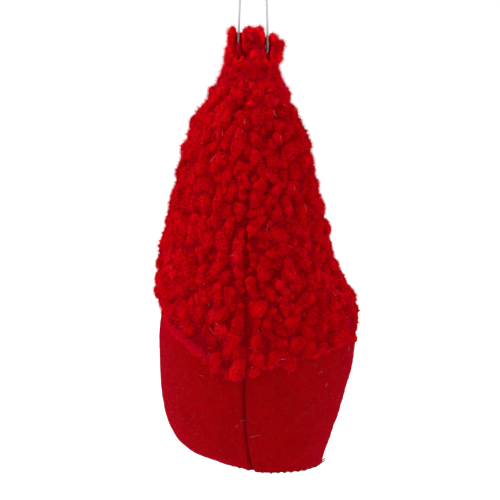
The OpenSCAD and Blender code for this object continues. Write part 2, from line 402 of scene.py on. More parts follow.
class Paint:
    """A node material round one Principled shader."""

    def __init__(self, name, **sockets):
        self.material = bpy.data.materials.new(name)
        self.material.use_nodes = True
        self.tree = self.material.node_tree
        self.shader = self.tree.nodes["Principled BSDF"]
        for socket, value in sockets.items():
            self.shader.inputs[socket.replace("_", " ")].default_value = value
        self.place = self.node("ShaderNodeTexCoord").outputs["Object"]

    def feed(self, socket, value):
        if isinstance(value, bpy.types.NodeSocket):
            self.tree.links.new(value, socket)
        else:
            socket.default_value = value

    def node(self, kind, inputs=None, **settings):
        made = self.tree.nodes.new(kind)
        for key, value in settings.items():
            setattr(made, key, value)
        for key, value in (inputs or {}).items():
            self.feed(made.inputs[key], value)
        return made

    def noise(self, size, detail=3.0, rough=0.6, stretch=(1, 1, 1)):
        """Noise whose features are about size metres across."""
        scaled = self.node("ShaderNodeMapping", {"Vector": self.place, "Scale": stretch})
        inputs = {"Vector": scaled.outputs["Vector"], "Scale": 1 / size, "Detail": detail, "Roughness": rough}
        return self.node("ShaderNodeTexNoise", inputs).outputs["Fac"]

    def ramp(self, value, *stops):
        made = self.node("ShaderNodeValToRGB", {"Fac": value})
        elements = made.color_ramp.elements
        while len(elements) < len(stops):
            elements.new(0.5)
        for element, (at, colour) in zip(elements, stops):
            element.position = at
            element.color = (*colour, 1)
        return made.outputs["Color"]

    def mix(self, value, a, b, blend="MIX"):
        made = self.node("ShaderNodeMix", data_type="RGBA", blend_type=blend)
        self.feed(next(s for s in made.inputs if s.name == "Factor" and s.type != "RGBA"), value)
        for key, item in (("A", a), ("B", b)):
            socket = next(s for s in made.inputs if s.name == key and s.type == "RGBA")
            self.feed(socket, (*item, 1) if isinstance(item, tuple) else item)
        return next(s for s in made.outputs if s.type == "RGBA")

    def math(self, operation, a, b):
        made = self.node("ShaderNodeMath", operation=operation)
        for socket, item in zip(made.inputs, (a, b)):
            self.feed(socket, item)
        return made.outputs[0]

    def blotched(self, tone):
        """The tone made unevenly darker and lighter over a few millimetres."""
        patches = self.noise(3.4 * MM, 2, 0.5)
        stops = ((0.36, (0.74, 0.7, 0.7)), (0.5, (1, 1, 1)), (0.66, (1.17, 1.4, 1.6)))
        return self.shaded(tone, patches, *stops)

    def shaded(self, tone, value, *stops):
        """The tone multiplied by a ramp of the value."""
        return self.mix(1.0, tone, self.ramp(value, *stops), "MULTIPLY")

    def island(self):
        return self.node("ShaderNodeNewGeometry").outputs["Random Per Island"]

    def soft(self, reach, scale, weight):
        """Light that gets into the surface and out again, by colour and distance."""
        for socket, value in (("Weight", weight), ("Radius", reach), ("Scale", scale)):
            self.shader.inputs["Subsurface " + socket].default_value = value

    def colour(self, socket):
        self.tree.links.new(socket, self.shader.inputs["Base Color"])

    def rough(self, socket, low, high):
        made = self.node("ShaderNodeMapRange", {"Value": socket, "To Min": low, "To Max": high})
        self.tree.links.new(made.outputs["Result"], self.shader.inputs["Roughness"])
        return self

    def bump(self, height, depth, strength=1.0):
        made = self.node("ShaderNodeBump", {"Height": height, "Distance": depth, "Strength": strength})
        self.tree.links.new(made.outputs["Normal"], self.shader.inputs["Normal"])
        return self


PINK_SHEEN = (1.0, 0.0, 0.12, 1)
NO_GLOSS = {"Specular_IOR_Level": 0.0}
RED_HAIR = {"Sheen_Roughness": 0.4, "Sheen_Tint": PINK_SHEEN, **NO_GLOSS}


def curl_paint(name, light):
    p = Paint(name, Sheen_Weight=0.08, Sheen_Roughness=0.45, Sheen_Tint=PINK_SHEEN, **NO_GLOSS)
    # light scales the whole colour: 0.5 gives a darker copy as painted shade for the sunk curls, 1.5 a
    # lighter copy as painted light for the tip's curls
    tone = p.ramp(
        p.island(),
        (0.0, (0.4 * light, 0.0002, 0.0008)),
        (0.35, (0.43 * light, 0.0003, 0.001)),
        (0.75, (0.46 * light, 0.0004, 0.0016)),
        (1.0, (0.51 * light, 0.0006, 0.004)),
    )
    p.soft((1.0, 0.06, 0.1), 1.6 * MM, 0.6)
    strands = p.noise(0.35 * MM, 4, 0.7)
    p.colour(p.shaded(p.blotched(tone), strands, (0.25, (0.6, 0.6, 0.6)), (0.75, (1.25, 1.25, 1.25))))
    p.rough(strands, 0.8, 0.95)
    return p.bump(p.noise(0.4 * MM, 5, 0.75), 0.25 * MM, 0.9).material


def fibre_paint():
    p = Paint("curl_fibre", Sheen_Weight=0.2, **RED_HAIR)
    tone = p.ramp(
        p.island(),
        (0.0, (0.44, 0.0003, 0.001)),
        (0.6, (0.58, 0.0005, 0.0025)),
        (0.99, (0.7, 0.001, 0.014)),
        (1.0, (0.8, 0.05, 0.08)),
    )
    strands = p.noise(0.6 * MM)
    along = p.ramp(strands, (0.3, (0.47, 0.0003, 0.001)), (0.7, (0.68, 0.0006, 0.003)))
    p.colour(p.blotched(p.mix(0.5, tone, along)))
    return p.rough(strands, 0.7, 0.9).material


def hair_paint(name, stops, other, share, grain=0.6 * MM, rough=(0.7, 0.9), stretch=(1, 1, 1), **sockets):
    """Hairs each of their own tone, varied along their length with a share of another colour."""
    p = Paint(name, **sockets)
    strands = p.noise(grain, stretch=stretch)
    p.colour(p.mix(p.math("MULTIPLY", strands, share), p.ramp(p.island(), *stops), other))
    return p.rough(strands, *rough)


def rim_lit_halo_paint():
    # painted light: the long hairs that stand out of the pile are painted lighter and pinker than its other
    # hairs, as a painted rim glow
    stops = (
        (0.0, (0.62, 0.0006, 0.01)),
        (0.7, (0.75, 0.001, 0.03)),
        (0.985, (0.82, 0.006, 0.06)),
        (1.0, (0.85, 0.3, 0.35)),
    )
    other = (0.66, 0.001, 0.008)
    return hair_paint("halo_fibre", stops, other, 0.5, Sheen_Weight=0.25, **RED_HAIR).material


def lit_fringe_paint():
    # painted light: the brim's loose ends and the tip's hairs are painted lighter and pinker than the pile's
    # hairs, lifting the shade under the brim and as a painted rim glow at the tip
    stops = ((0.0, (0.6, 0.0006, 0.008)), (0.6, (0.78, 0.001, 0.018)), (1.0, (0.92, 0.002, 0.05)))
    other = (0.66, 0.0006, 0.014)
    return hair_paint("fringe_fibre", stops, other, 0.5, Sheen_Weight=0.15, **RED_HAIR).material


def stray_paint():
    stops = ((0.0, (0.5, 0.1, 0.12)), (0.6, (0.62, 0.28, 0.3)), (1.0, (0.8, 0.6, 0.6)))
    other = (0.6, 0.25, 0.28)
    return hair_paint("stray_hair", stops, other, 0.4, 0.4 * MM, (0.5, 0.7), Sheen_Weight=0.2).material


def backing_paint():
    p = Paint("pile_backing", Sheen_Weight=0.2, Sheen_Tint=PINK_SHEEN, **NO_GLOSS)
    knit = p.noise(0.5 * MM, stretch=(1, 1, 0.6))
    p.colour(p.ramp(knit, (0.3, (0.12, 0.0, 0.001)), (0.7, (0.22, 0.0004, 0.003))))
    p.rough(knit, 0.85, 0.97)
    return p.bump(knit, 0.3 * MM).material


def felt_paint():
    p = Paint("felt", Sheen_Weight=0.16, Sheen_Roughness=0.5, Sheen_Tint=(1.0, 0.0, 0.1, 1), **NO_GLOSS)
    clouds = p.noise(6 * MM)
    fibres = p.noise(0.45 * MM, 6, 0.8, (1, 1, 0.55))
    tone = p.ramp(clouds, (0.3, (0.216, 0.0002, 0.001)), (0.7, (0.25, 0.0004, 0.0014)))
    p.colour(p.shaded(tone, fibres, (0.3, (0.72, 0.7, 0.7)), (0.52, (1, 1, 1)), (0.75, (1.2, 1.5, 1.5))))
    p.rough(fibres, 0.82, 0.97)
    return p.bump(fibres, 0.12 * MM, 0.8).material


def felt_fibre_paint():
    stops = (
        (0.0, (0.21, 0.0004, 0.002)),
        (0.9, (0.28, 0.001, 0.005)),
        (0.99, (0.3, 0.003, 0.01)),
        (1.0, (0.5, 0.08, 0.1)),
    )
    sheen = {"Sheen_Weight": 0.3, "Sheen_Tint": PINK_SHEEN}
    return hair_paint("felt_fibre", stops, (0.24, 0.0005, 0.003), 0.4, 0.5 * MM, **sheen).material


def beard_paint():
    stops = ((0.0, (0.78, 0.75, 0.69)), (0.3, (0.88, 0.86, 0.82)), (1.0, (0.96, 0.95, 0.93)))
    gloss = {"Sheen_Weight": 0.25, "Sheen_Roughness": 0.4, "Specular_IOR_Level": 0.35}
    other = (0.8, 0.76, 0.7)
    p = hair_paint("beard_hair", stops, other, 0.25, 1.2 * MM, (0.45, 0.7), (1, 1, 0.2), **gloss)
    p.soft((1.0, 0.95, 0.9), 1.0 * MM, 0.4)
    return p.material


def wood_paint():
    p = Paint("nose_wood", Coat_Weight=0.12, Coat_Roughness=0.35)
    bent = p.noise(14 * MM, 2, 0.5)
    grain = {"Vector": p.place, "Scale": 130.0, "Distortion": 3.0, "Detail": 3.0, "Detail Scale": 1.2}
    rings = p.node("ShaderNodeTexWave", grain, wave_type="RINGS", rings_direction="X").outputs["Fac"]
    pores = p.noise(0.5 * MM, 4, 0.7, (1, 1, 0.12))
    tone = p.ramp(rings, (0.1, (0.62, 0.4, 0.22)), (0.6, (0.72, 0.5, 0.29)), (0.95, (0.52, 0.31, 0.16)))
    base = p.shaded(tone, pores, (0.35, (0.8, 0.76, 0.72)), (0.6, (1.03, 1.02, 1.0)))
    p.colour(p.mix(p.math("MULTIPLY", bent, 0.3), base, (0.78, 0.56, 0.36)))
    p.rough(pores, 0.42, 0.6)
    return p.bump(pores, 0.06 * MM, 0.6).material


def cord_paint():
    """Silver cord, painted lighter where it comes out of the hat: painted light against the shade of the
    tufts there.
    """
    p = Paint("silver_cord", Metallic=0.25, Sheen_Weight=0.3, Specular_IOR_Level=0.5)
    strands = p.noise(0.12 * MM, stretch=(1, 1, 0.3))
    tone = p.ramp(strands, (0.3, (0.32, 0.325, 0.335)), (0.7, (0.54, 0.55, 0.56)))
    # painted light: the colour is lifted up to 1.75 times near the hinge line, where the tip's tufts shade
    # the cord
    height = p.node("ShaderNodeSeparateXYZ", {"Vector": p.place}).outputs["Z"]
    rise = p.math("MULTIPLY", p.math("SUBTRACT", height, HINGE_Z), 1 / (10 * MM))
    p.colour(p.shaded(tone, rise, (0.35, (1.75, 1.72, 1.7)), (0.75, (1, 1, 1))))
    p.rough(strands, 0.38, 0.6)
    return p.bump(strands, 0.03 * MM, 0.7).material


def cloth_paint(name, dark, light, grain, roughness=(0.8, 0.95)):
    p = Paint(name, Sheen_Weight=0.15)
    fibres = p.noise(grain, 5, 0.7)
    p.colour(p.ramp(fibres, (0.3, dark), (0.7, light)))
    p.rough(fibres, *roughness)
    return p.bump(fibres, grain * 0.3, 0.8).material


def glue_paint():
    p = Paint("glue", Coat_Weight=0.2)
    p.soft((1.0, 0.95, 0.85), 0.8 * MM, 0.3)
    haze = p.noise(1.5 * MM)
    p.colour(p.ramp(haze, (0.3, (0.72, 0.68, 0.56)), (0.7, (0.85, 0.82, 0.72))))
    p.rough(haze, 0.25, 0.45)
    return p.bump(haze, 0.1 * MM, 0.5).material


# ---------------------------------------------------------------- hanging loop

CORD = 0.7 * MM
# The loop's route from the hat's side to its top: distance from the middle, height over the hinge
LOOP_SIDE = [
    (4.2, 0), (4.65, 0.2), (4.98, 0.55), (5.15, 1.1), (5.15, 2), (5.1, 5), (5, 10), (4.7, 18),
    (4.3, 28), (3.9, 38), (3.5, 47), (3.25, 52), (3.1, 55.5), (2.9, 57), (2.5, 58.3),
    (1.9, 59.2), (1, 59.75), (0, 59.85),
]

# The strand on the -X side stands nearer to the middle by this share
NEAR_STRAND = 0.885
CORD_STEP = 0.16 * MM
CORD_PITCH = 1.9 * MM


def run_along(line):
    """The distance along a line to each of its points."""
    return np.concatenate([[0], np.cumsum(np.linalg.norm(np.diff(line, axis=0), axis=1))])


def finer(line, step):
    """A line's points evenly spaced along it, and its length."""
    line = np.asarray(line, dtype=float)
    run = run_along(line)
    at = np.linspace(0, run[-1], max(2, int(run[-1] / step)))
    return np.stack([np.interp(at, run, line[:, k]) for k in range(3)], axis=1), run[-1]


def ply_tube(line, radius, pitch, sides=15):
    """A cord of three plies laid round its centreline."""
    along = unit(np.gradient(line, axis=0))
    side = unit(np.cross(along, np.array([0.0, 1.0, 0.0])))
    turn = np.arange(sides) * TAU / sides
    lobe = np.abs(np.cos(1.5 * (turn - (run_along(line) / pitch * TAU)[:, None])))
    r = radius * (0.72 + 0.28 * lobe)
    rings = ring_points(line, r, turn, side, np.cross(side, along))
    points = np.concatenate([line[:1], rings.reshape(-1, 3), line[-1:]])
    quads = grid_faces(len(line), sides)[:, ::-1] + 1
    return points, quads, tube_ends(sides, 1 + (len(line) - 1) * sides, len(points) - 1)


def make_loop(paint):
    up = [(-x * MM * NEAR_STRAND, 0, HINGE_Z + z * MM) for x, z in LOOP_SIDE]
    lean = [0.35 * math.exp(-z / 9) for _, z in LOOP_SIDE]
    back = zip(LOOP_SIDE[-2::-1], lean[-2::-1])
    down = [((x + add) * MM, 0, HINGE_Z + z * MM) for (x, z), add in back]
    line, length = finer(up + down, CORD_STEP)
    cord = add_piece("hanging_cord", *ply_tube(line, CORD * 0.55, CORD_PITCH), paint, "cord", LOOP)
    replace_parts(cord, "hanging_loop")


def make_knot(paint):
    """The cord's stretch through the tip, with an overhand knot of its two ends in the middle."""
    t = np.linspace(0, TAU, 120, endpoint=False)
    size = 0.27 * MM
    x = size * (np.sin(t) + 2 * np.sin(2 * t))
    y = size * 0.9 * np.sin(3 * t) * -1
    z = size * (np.cos(t) - 2 * np.cos(2 * t))
    knot = np.stack([x, y, z + HINGE_Z], axis=1)
    meshes = [ply_tube(knot[np.r_[0:120, 0]], CORD * 0.42, 1.6 * MM)]
    for way in (-1, 1):
        reach = 4.5 * MM if way > 0 else 4.2 * MM * NEAR_STRAND
        ends = [(way * 0.6 * MM, 0, HINGE_Z), (way * reach, 0, HINGE_Z)]
        straight, _ = finer(ends, CORD_STEP)
        meshes.append(ply_tube(straight, CORD / 2, CORD_PITCH))
    piece = add_piece("cord_knotted_ends", *joined(meshes), paint, "cord", LOOP)
    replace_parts(piece, "cord_knot")


# ---------------------------------------------------------------- hat

HAT_SEAM = math.radians(85.5)
PILE_DEPTH = 1.8 * MM
BACKING_THICK = 0.6 * MM
BACKING_COLUMNS = 288
BACKING_ROWS = 110
# The loop's strands sweep past the tip between these two distances from the middle
SLOT = {1: (4.6 * MM, 5.85 * MM), -1: (4.0 * MM, 5.1 * MM)}
SLOT_FLOOR = HINGE_Z - 1.5 * MM
# A curl's solid heart as a share of its thickness; the rest is loose hair
CORE = 0.86
# The curls lie in rough columns this far apart
COLUMN = 6.3 * MM
FACE_GAP = 3.8
CLOSE_GAP = 2.6 * MM
FACE_TRIES = 60000
CLOSE_TRIES = 40000
CLUMP_RINGS = 9
CLUMP_SIDES = 10
CLUMP_POINTS = 2 + CLUMP_RINGS * CLUMP_SIDES
ALONG_CLUMP = np.linspace(-1, 1, CLUMP_RINGS)
SECTORS = 12


def hat_depth(z):
    """How far the backing lies under the CAD hat's outside: less near the brim and the tip."""
    heights = [BASE_Z + 50 * MM, BASE_Z + 66 * MM, HINGE_Z - 9 * MM, HINGE_Z - 1.5 * MM]
    return np.interp(z, heights, [1.15 * MM, PILE_DEPTH, PILE_DEPTH, 0.2 * MM])


def seam_distance(a, z):
    """Distance round the hat from its back seam, positive towards +X."""
    turn = (a - HAT_SEAM + math.pi) % TAU - math.pi
    return -turn * hat.radius(a, z)


def shell(inner, outer):
    """A closed shell from rings listed upwards, shut at the top inside and outside."""
    return turned(list(inner[::-1]) + list(outer))


def bore(piece, radius, length, sides=32):
    """A hole for the cord through a piece, along the hinge line."""
    turn = np.arange(sides) * TAU / sides
    ring = np.stack([0 * turn, radius * np.cos(turn), HINGE_Z + radius * np.sin(turn)], axis=1)
    ends = [ring + [way * length / 2, 0, 0] for way in (-1, 1)]
    mesh = bpy.data.meshes.new("bore")
    faces = [(i, (i + 1) % sides, sides + (i + 1) % sides, sides + i) for i in range(sides)]
    faces += [tuple(range(sides - 1, -1, -1)), tuple(range(sides, 2 * sides))]
    mesh.from_pydata(np.concatenate(ends).tolist(), [], faces)
    cutter = put("bore", mesh)
    cut = piece.modifiers.new("bore", "BOOLEAN")
    cut.operation = "DIFFERENCE"
    cut.solver = "EXACT"
    cut.object = cutter
    piece.data = as_shown(piece)
    piece.modifiers.clear()
    bpy.data.objects.remove(cutter)
    bpy.data.meshes.remove(mesh)


def as_shown(piece):
    """A new mesh of a piece with its modifiers applied."""
    graph = bpy.context.evaluated_depsgraph_get()
    return bpy.data.meshes.new_from_object(piece.evaluated_get(graph))


def make_hat_backing(paint):
    turns = np.arange(BACKING_COLUMNS) * TAU / BACKING_COLUMNS
    brims = pile_brim(turns)
    top = TIP_Z - 3.4 * MM
    inner, outer = [], []
    for share in np.linspace(0, 1, BACKING_ROWS) ** 0.92:
        z = brims + (top - brims) * share
        groove = 0.5 * MM * np.exp(-((seam_distance(turns, z) / (0.8 * MM)) ** 2))
        wave = 0.15 * MM * lumps(hat.on(turns, z), 5 * MM, 3)
        out = wave - hat_depth(z) - groove
        outer.append(hat.place(turns, z, out))
        inner.append(hat.place(turns, z, out - BACKING_THICK))
    piece = add_piece("hat_backing", *shell(inner, outer), paint, "pile_cloth")
    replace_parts(piece, "hat_shell")
    bore(piece, CORD / 2 + 0.08 * MM, 12 * MM)


def scatter(rng, low, high, spacing, tries, keep):
    """Angles and heights of spots on the hat, at least spacing(a, z) apart."""
    a = rng.uniform(0, TAU, tries)
    z = rng.uniform(low, high, tries)
    fair = rng.uniform(0, 1, tries) < hat.radius(a, z) / (36 * MM)
    a, z = a[fair], z[fair]
    fine = keep(a, z)
    a, z = a[fine], z[fine]
    spots = hat.on(a, z)
    least = spacing(a, z) ** 2
    cells = {}
    chosen = []
    keys = np.floor(spots / (4 * MM)).astype(int).tolist()
    around = [(x, y, w) for x in (-1, 0, 1) for y in (-1, 0, 1) for w in (-1, 0, 1)]

    def free(n):
        x, y, w = keys[n]
        for i, j, k in around:
            for m in cells.get((x + i, y + j, w + k), ()):
                d = spots[n] - spots[m]
                if d @ d < least[n]:
                    return False
        return True

    for n in range(len(spots)):
        if free(n):
            cells.setdefault(tuple(keys[n]), []).append(n)
            chosen.append(n)
    return a[chosen], z[chosen]


def curl_paths(a, z, length, lift, tilt, bend, sink):
    """Centrelines of curls that lie on the hat: a hump whose ends dive into the pile."""
    middle = hat.on(a, z)
    out = hat.normal(a, z)
    drop = np.array([0, 0, -1.0])
    down = unit(drop - out * (out @ drop)[:, None])
    across = np.cross(out, down)
    run = down * np.cos(tilt)[:, None] + across * np.sin(tilt)[:, None]
    cross = np.cross(out, run)
    u = ALONG_CLUMP
    reach = (length / 2)[:, None] * np.sin(u * 1.25) / math.sin(1.25)
    bow = bend[:, None] * (u**2 - 0.35)
    rise = lift[:, None] - sink[:, None] * np.abs(u) ** 2.4
    paths = (
        middle[:, None, :]
        + reach[..., None] * run[:, None, :]
        + bow[..., None] * cross[:, None, :]
        + rise[..., None] * out[:, None, :]
    )
    return paths, cross


def fat(u):
    """The thickness of a curl along it, round at both ends."""
    return np.sqrt(np.maximum(1 - np.abs(u) ** 2.5, 0.05))


def lumpy(rng, paths, r, cross):
    """Closed lumps round paths, of uneven thickness and with an uneven face."""
    n = len(paths)
    u = ALONG_CLUMP
    swell = 1 + 0.2 * np.sin(u * rng.uniform(2, 5, n)[:, None] + rng.uniform(0, TAU, n)[:, None])
    radii = r[:, None] * fat(u) * swell
    phase = rng.uniform(0, TAU, n)
    points, quads, tris = tubes(paths, radii, cross, CLUMP_SIDES, lobes=0.12, twist=0.5, phase=phase)
    push = unit(points - np.repeat(paths.mean(axis=1), len(points) // n, axis=0))
    rough = 0.24 * lumps(points, 1.7 * MM, 11) + 0.08 * lumps(points, 0.9 * MM, 12)
    return points + push * (rough * MM)[:, None], quads, tris


def large_low(z):
    """How much larger the curls are towards the brim."""
    return np.interp(z - BASE_Z, [60 * MM, 105 * MM], [1.13, 1.0])


def clumps(rng, a, z, small, sunk, uneven=1.0):
    """Mesh of a layer of curled clumps at the given spots: small is their share of full size,
    sunk how many millimetres they lie below the pile's face."""
    n = len(a)
    side = seam_distance(a, z)
    right = np.clip(-side / (6 * MM), 0, 1)
    near_seam = np.exp(-((side / (3.2 * MM)) ** 2))
    spots = hat.on(a, z)
    r = rng.uniform(1.75, 2.9, n) * MM * (1 + 0.1 * right) * large_low(z) * small
    r = r * (1 + 0.1 * lumps(spots, 14 * MM, 5))
    length = r * rng.uniform(1.9, 3.6, n) * (1 - 0.1 * right) + 0.4 * MM
    length = np.minimum(length, 2 * np.maximum(z - pile_brim(a), 0) + 1.6 * r)
    r = r * (1 - 0.16 * near_seam)
    least = r * 0.86 + 0.35 * MM
    open_seam = (z < BASE_Z + 100 * MM) & (np.abs(side) < least)
    a = a - np.where(open_seam, np.sign(side) * (least - np.abs(side)) / hat.radius(a, z), 0)
    spread = (0.3 + 0.35 * right) * (1 - 0.5 * near_seam)
    tilt = rng.normal(0, 1, n) * spread
    bend = rng.normal(0, 0.6, n) * MM * small
    column = -np.cos(TAU * (side / COLUMN + 0.3 * lumps(spots, 16 * MM, 9)))
    rise = 0.5 * lumps(spots, 9 * MM, 6) + 0.4 * column + rng.uniform(-0.5, 0.4, n)
    rise = np.minimum(rise, np.interp(z - pile_brim(a), [1 * MM, 6 * MM], [0.25, 1.6]))
    near_tip = np.clip((z - HINGE_Z + 18 * MM) / (10 * MM), 0, 1)
    lift = -r + (rise * uneven + 0.2 - 0.8 * near_tip - sunk) * MM
    sink = rng.uniform(0.6, 1.3, n) * MM
    paths, cross = curl_paths(a, z, length, lift, tilt, bend, sink)
    return lumpy(rng, paths, r, cross)


def fibres(rng, roots, ways, length, thick, rings=4, curl=0.8):
    """Fine hairs from roots along ways, bending as they go."""
    n = len(roots)
    bend = unit(rng.normal(size=(n, 3)))
    t = np.linspace(0, 1, rings)
    step = length[:, None] * t
    paths = (
        roots[:, None, :]
        + ways[:, None, :] * step[..., None]
        + bend[:, None, :] * (curl * length[:, None] * t**2)[..., None]
    )
    radii = thick[:, None] * np.linspace(1, 0.6, rings)
    across = unit(np.cross(ways, bend) + 1e-6)
    return spikes(paths, radii, across)


def hairs_on(rng, mesh, count, outward, length, thick, curl, rise, rings=4, per=0):
    """Hairs on the outward faces of a mesh, leaning along it: length and thick are ranges in
    millimetres, rise the range of how steeply they stand. The hairs of one tube of per points
    sweep round together."""
    points, quads, _ = mesh
    p = points[quads]
    face = np.cross(p[:, 1] - p[:, 0], p[:, 3] - p[:, 0])
    area = np.linalg.norm(face, axis=1)
    face = unit(face)
    middles = p.mean(axis=1)
    facing = (face * outward(middles)).sum(axis=1)
    share = area * np.clip(facing + 0.25, 0.02, 1)
    if per:
        turn = angle_of(middles)
        reach = np.hypot(middles[:, 0] - AXIS[0], middles[:, 1] - AXIS[1])
        deep = hat.radius(turn, middles[:, 2]) - reach
        share = share * np.clip(1.4 - deep / (1.6 * MM), 0.08, 1)
    pick = rng.choice(len(quads), count, p=share / share.sum())
    mixed = rng.uniform(0, 1, (count, 4)) ** 0.7
    mixed = mixed / mixed.sum(axis=1, keepdims=True)
    root = (p[pick] * mixed[..., None]).sum(axis=1)
    face = face[pick]
    lean = rng.normal(size=(count, 3))
    if per:
        axes = unit(rng.normal(size=(len(points) // per, 3)))
        sweep = np.cross(axes[quads[pick, 0] // per], face)
        lean = 0.45 * lean + 1.1 * sweep
    lean = lean - face * (lean * face).sum(axis=1)[:, None]
    lean = lean / np.maximum(np.linalg.norm(lean, axis=1, keepdims=True), 1.0)
    ways = unit(face * rng.uniform(*rise, count)[:, None] + lean)
    size = rng.uniform(*np.multiply(length, MM), count)
    return fibres(rng, root, ways, size, rng.uniform(*np.multiply(thick, MM), count), rings, curl)


def from_axis(points):
    """Level directions away from the figure's axis."""
    out = points - [*AXIS, 0]
    out[:, 2] = 0
    return unit(out)


# Tufts round the tip: x from, to, y from, to, height over the hinge line from, to, count
TUFTS = [
    (-3.2, 4.2, -4.4, 4.4, -1.0, 7.0, 92),
    (-1.8, 3.4, -2.5, 2.5, 6.6, 7.4, 16),
    (6.2, 7.2, -2.8, 2.8, 1.0, 7.6, 34),
    (6.6, 8.4, -4.0, 4.0, -3.0, 1.4, 28),
    (-6.6, -5.6, -3.0, 3.0, -1.5, 5.4, 36),
    (-8.4, -6.8, -4.0, 4.0, -1.5, 2.8, 30),
]
# Reach of the clumps round the tip: height over the hinge line, distance, middle towards +X
COLLAR = [
    (-16, 14.6, 1.7), (-13, 13.6, 1.2), (-11, 12.0, 1.1), (-8, 10.3, 1.1), (-4.5, 9.2, 1.0), (-1.2, 8.9, 0.2),
]
COLLAR_CLUMPS = 215


def tip_tufts(rng):
    """Clumps that stand up round the tip, with the cord's strands between them."""
    centres, sizes = [], []
    for x0, x1, y0, y1, z0, z1, count in TUFTS:
        centres.append(rng.uniform((x0, y0, z0), (x1, y1, z1), (count, 3)))
        sizes.append(rng.uniform(0.95, 1.5, count))
    turn = rng.uniform(0, TAU, COLLAR_CLUMPS)
    z = rng.uniform(-16, -0.8, COLLAR_CLUMPS)
    size = rng.uniform(1.2, 2.0, COLLAR_CLUMPS)
    heights, reach, lean = np.transpose(COLLAR)
    r = np.interp(z, heights, reach) - size + rng.uniform(-0.8, 0.1, COLLAR_CLUMPS)
    x = np.interp(z, heights, lean) + r * np.cos(turn)
    centres.append(np.stack([x, r * np.sin(turn), z], axis=1))
    sizes.append(size)
    centres = np.concatenate(centres)
    r = np.concatenate(sizes) * MM
    n = len(centres)
    run = unit(rng.normal(0, 0.3, (n, 3)) + [0, 0, 1.0])
    cross = unit(np.cross(run, rng.normal(size=(n, 3))))
    u = ALONG_CLUMP
    half_length = r * rng.uniform(1.0, 1.9, n)
    bow = rng.normal(0, 0.5, n) * MM
    paths = (
        (centres * MM + [0, 0, HINGE_Z])[:, None, :]
        + (half_length[:, None] * u)[..., None] * run[:, None, :]
        + (bow[:, None] * (u**2 - 0.4))[..., None] * cross[:, None, :]
    )
    return lumpy(rng, paths, r, cross)


def slimmer(mesh, share):
    """The same clumps drawn in towards their own middle lines."""
    points, quads, tris = mesh
    own = points.reshape(-1, CLUMP_POINTS, 3)
    rings = own[:, 1:-1].reshape(len(own), CLUMP_RINGS, CLUMP_SIDES, 3)
    middles = rings.mean(axis=2, keepdims=True)
    drawn = middles + (rings - middles) * share
    ends = np.stack([own[:, 0], own[:, -1]], axis=1)
    near = np.stack([middles[:, 0, 0], middles[:, -1, 0]], axis=1)
    ends = near + (ends - near) * share
    whole = np.concatenate([ends[:, :1], drawn.reshape(len(own), -1, 3), ends[:, 1:]], axis=1)
    return whole.reshape(-1, 3), quads, tris


# Room round the knot's straight ends: distance from the middle, radius kept free
KNOT_ROOM = [(3.2, 0), (3.4, 0.6), (4.2, 0.6), (5, 1.3), (5.7, 0)]


def clear_of_cord(mesh):
    """The same clumps, each pressed aside where the cord's strands sweep past the tip."""
    points, quads, tris = mesh
    points = points.copy()
    owner = np.arange(len(points)) // CLUMP_POINTS
    far = np.abs(points[:, 0])
    side = np.sign(points[:, 0])
    middle = (np.bincount(owner, far) / CLUMP_POINTS)[owner]
    high = points[:, 2] > SLOT_FLOOR
    flare = np.clip(0.3 * (points[:, 1] - 0.7 * MM), 0, 0.6 * MM)
    flare = flare * np.clip((points[:, 2] - HINGE_Z) / (2 * MM), 0, 1)
    for way, (near_edge, far_edge) in SLOT.items():
        here = high & (side == way)
        inside = middle < (near_edge + far_edge) / 2
        far = np.where(here & inside, np.minimum(far, near_edge - flare), far)
        far = np.where(here & ~inside, np.maximum(far, far_edge + flare), far)
    points[:, 0] = side * far
    off = points[:, 1:] - [0, HINGE_Z]
    reach = np.linalg.norm(off, axis=1)
    along = far + np.where(side > 0, -0.2, 0.6) * MM
    least = np.interp(along, *np.transpose(KNOT_ROOM) * MM)
    grow = np.where(reach < least, least / np.maximum(reach, 1e-6), 1)
    points[:, 1:] = off * grow[:, None] + [0, HINGE_Z]
    return points, quads, tris


def tubes_of(mesh, per, keep):
    """Some of the tubes of a mesh, all with per points each; keep takes their middles."""
    points, quads, tris = mesh
    owner = np.arange(len(points)) // per
    middles = points.reshape(-1, per, 3).mean(axis=1)
    kept = keep(middles)[owner]
    number = np.cumsum(kept) - 1
    q = quads[kept[quads[:, 0]]]
    t = tris[kept[tris[:, 0]]]
    return points[kept], number[q], number[t]


def sector(k, wide=1):
    """Keeps the tubes of one of twelve parts of the way round, or of wide parts."""

    def keep(middles):
        return (angle_of(middles) % TAU / TAU * SECTORS / wide).astype(int) == k

    return keep


def off_seam(middles):
    """Keeps hairs out of the groove of the back seam."""
    side = np.abs(seam_distance(angle_of(middles), middles[:, 2]))
    groove = np.interp(middles[:, 2] - BASE_Z, [70 * MM, 105 * MM], [0.75 * MM, 0.15 * MM])
    return side > groove


def off_slots(margin=0.8 * MM):
    """Keeps hairs out of the gaps that the cord's strands sweep through."""

    def keep(middles):
        clear = np.ones(len(middles), dtype=bool)
        for way, (near_edge, far_edge) in SLOT.items():
            across = middles[:, 0] * way
            inside = (across > near_edge - margin) & (across < far_edge + margin)
            clear &= ~(inside & (middles[:, 2] > SLOT_FLOOR - margin / 2))
        return clear

    return keep


def off_gaps(hairs, rings, margin=0.8 * MM):
    """Hairs of so many rings without those in the seam's groove and in the strands' gaps."""
    hairs = tubes_of(hairs, spike_points(rings), off_seam)
    return tubes_of(hairs, spike_points(rings), off_slots(margin))


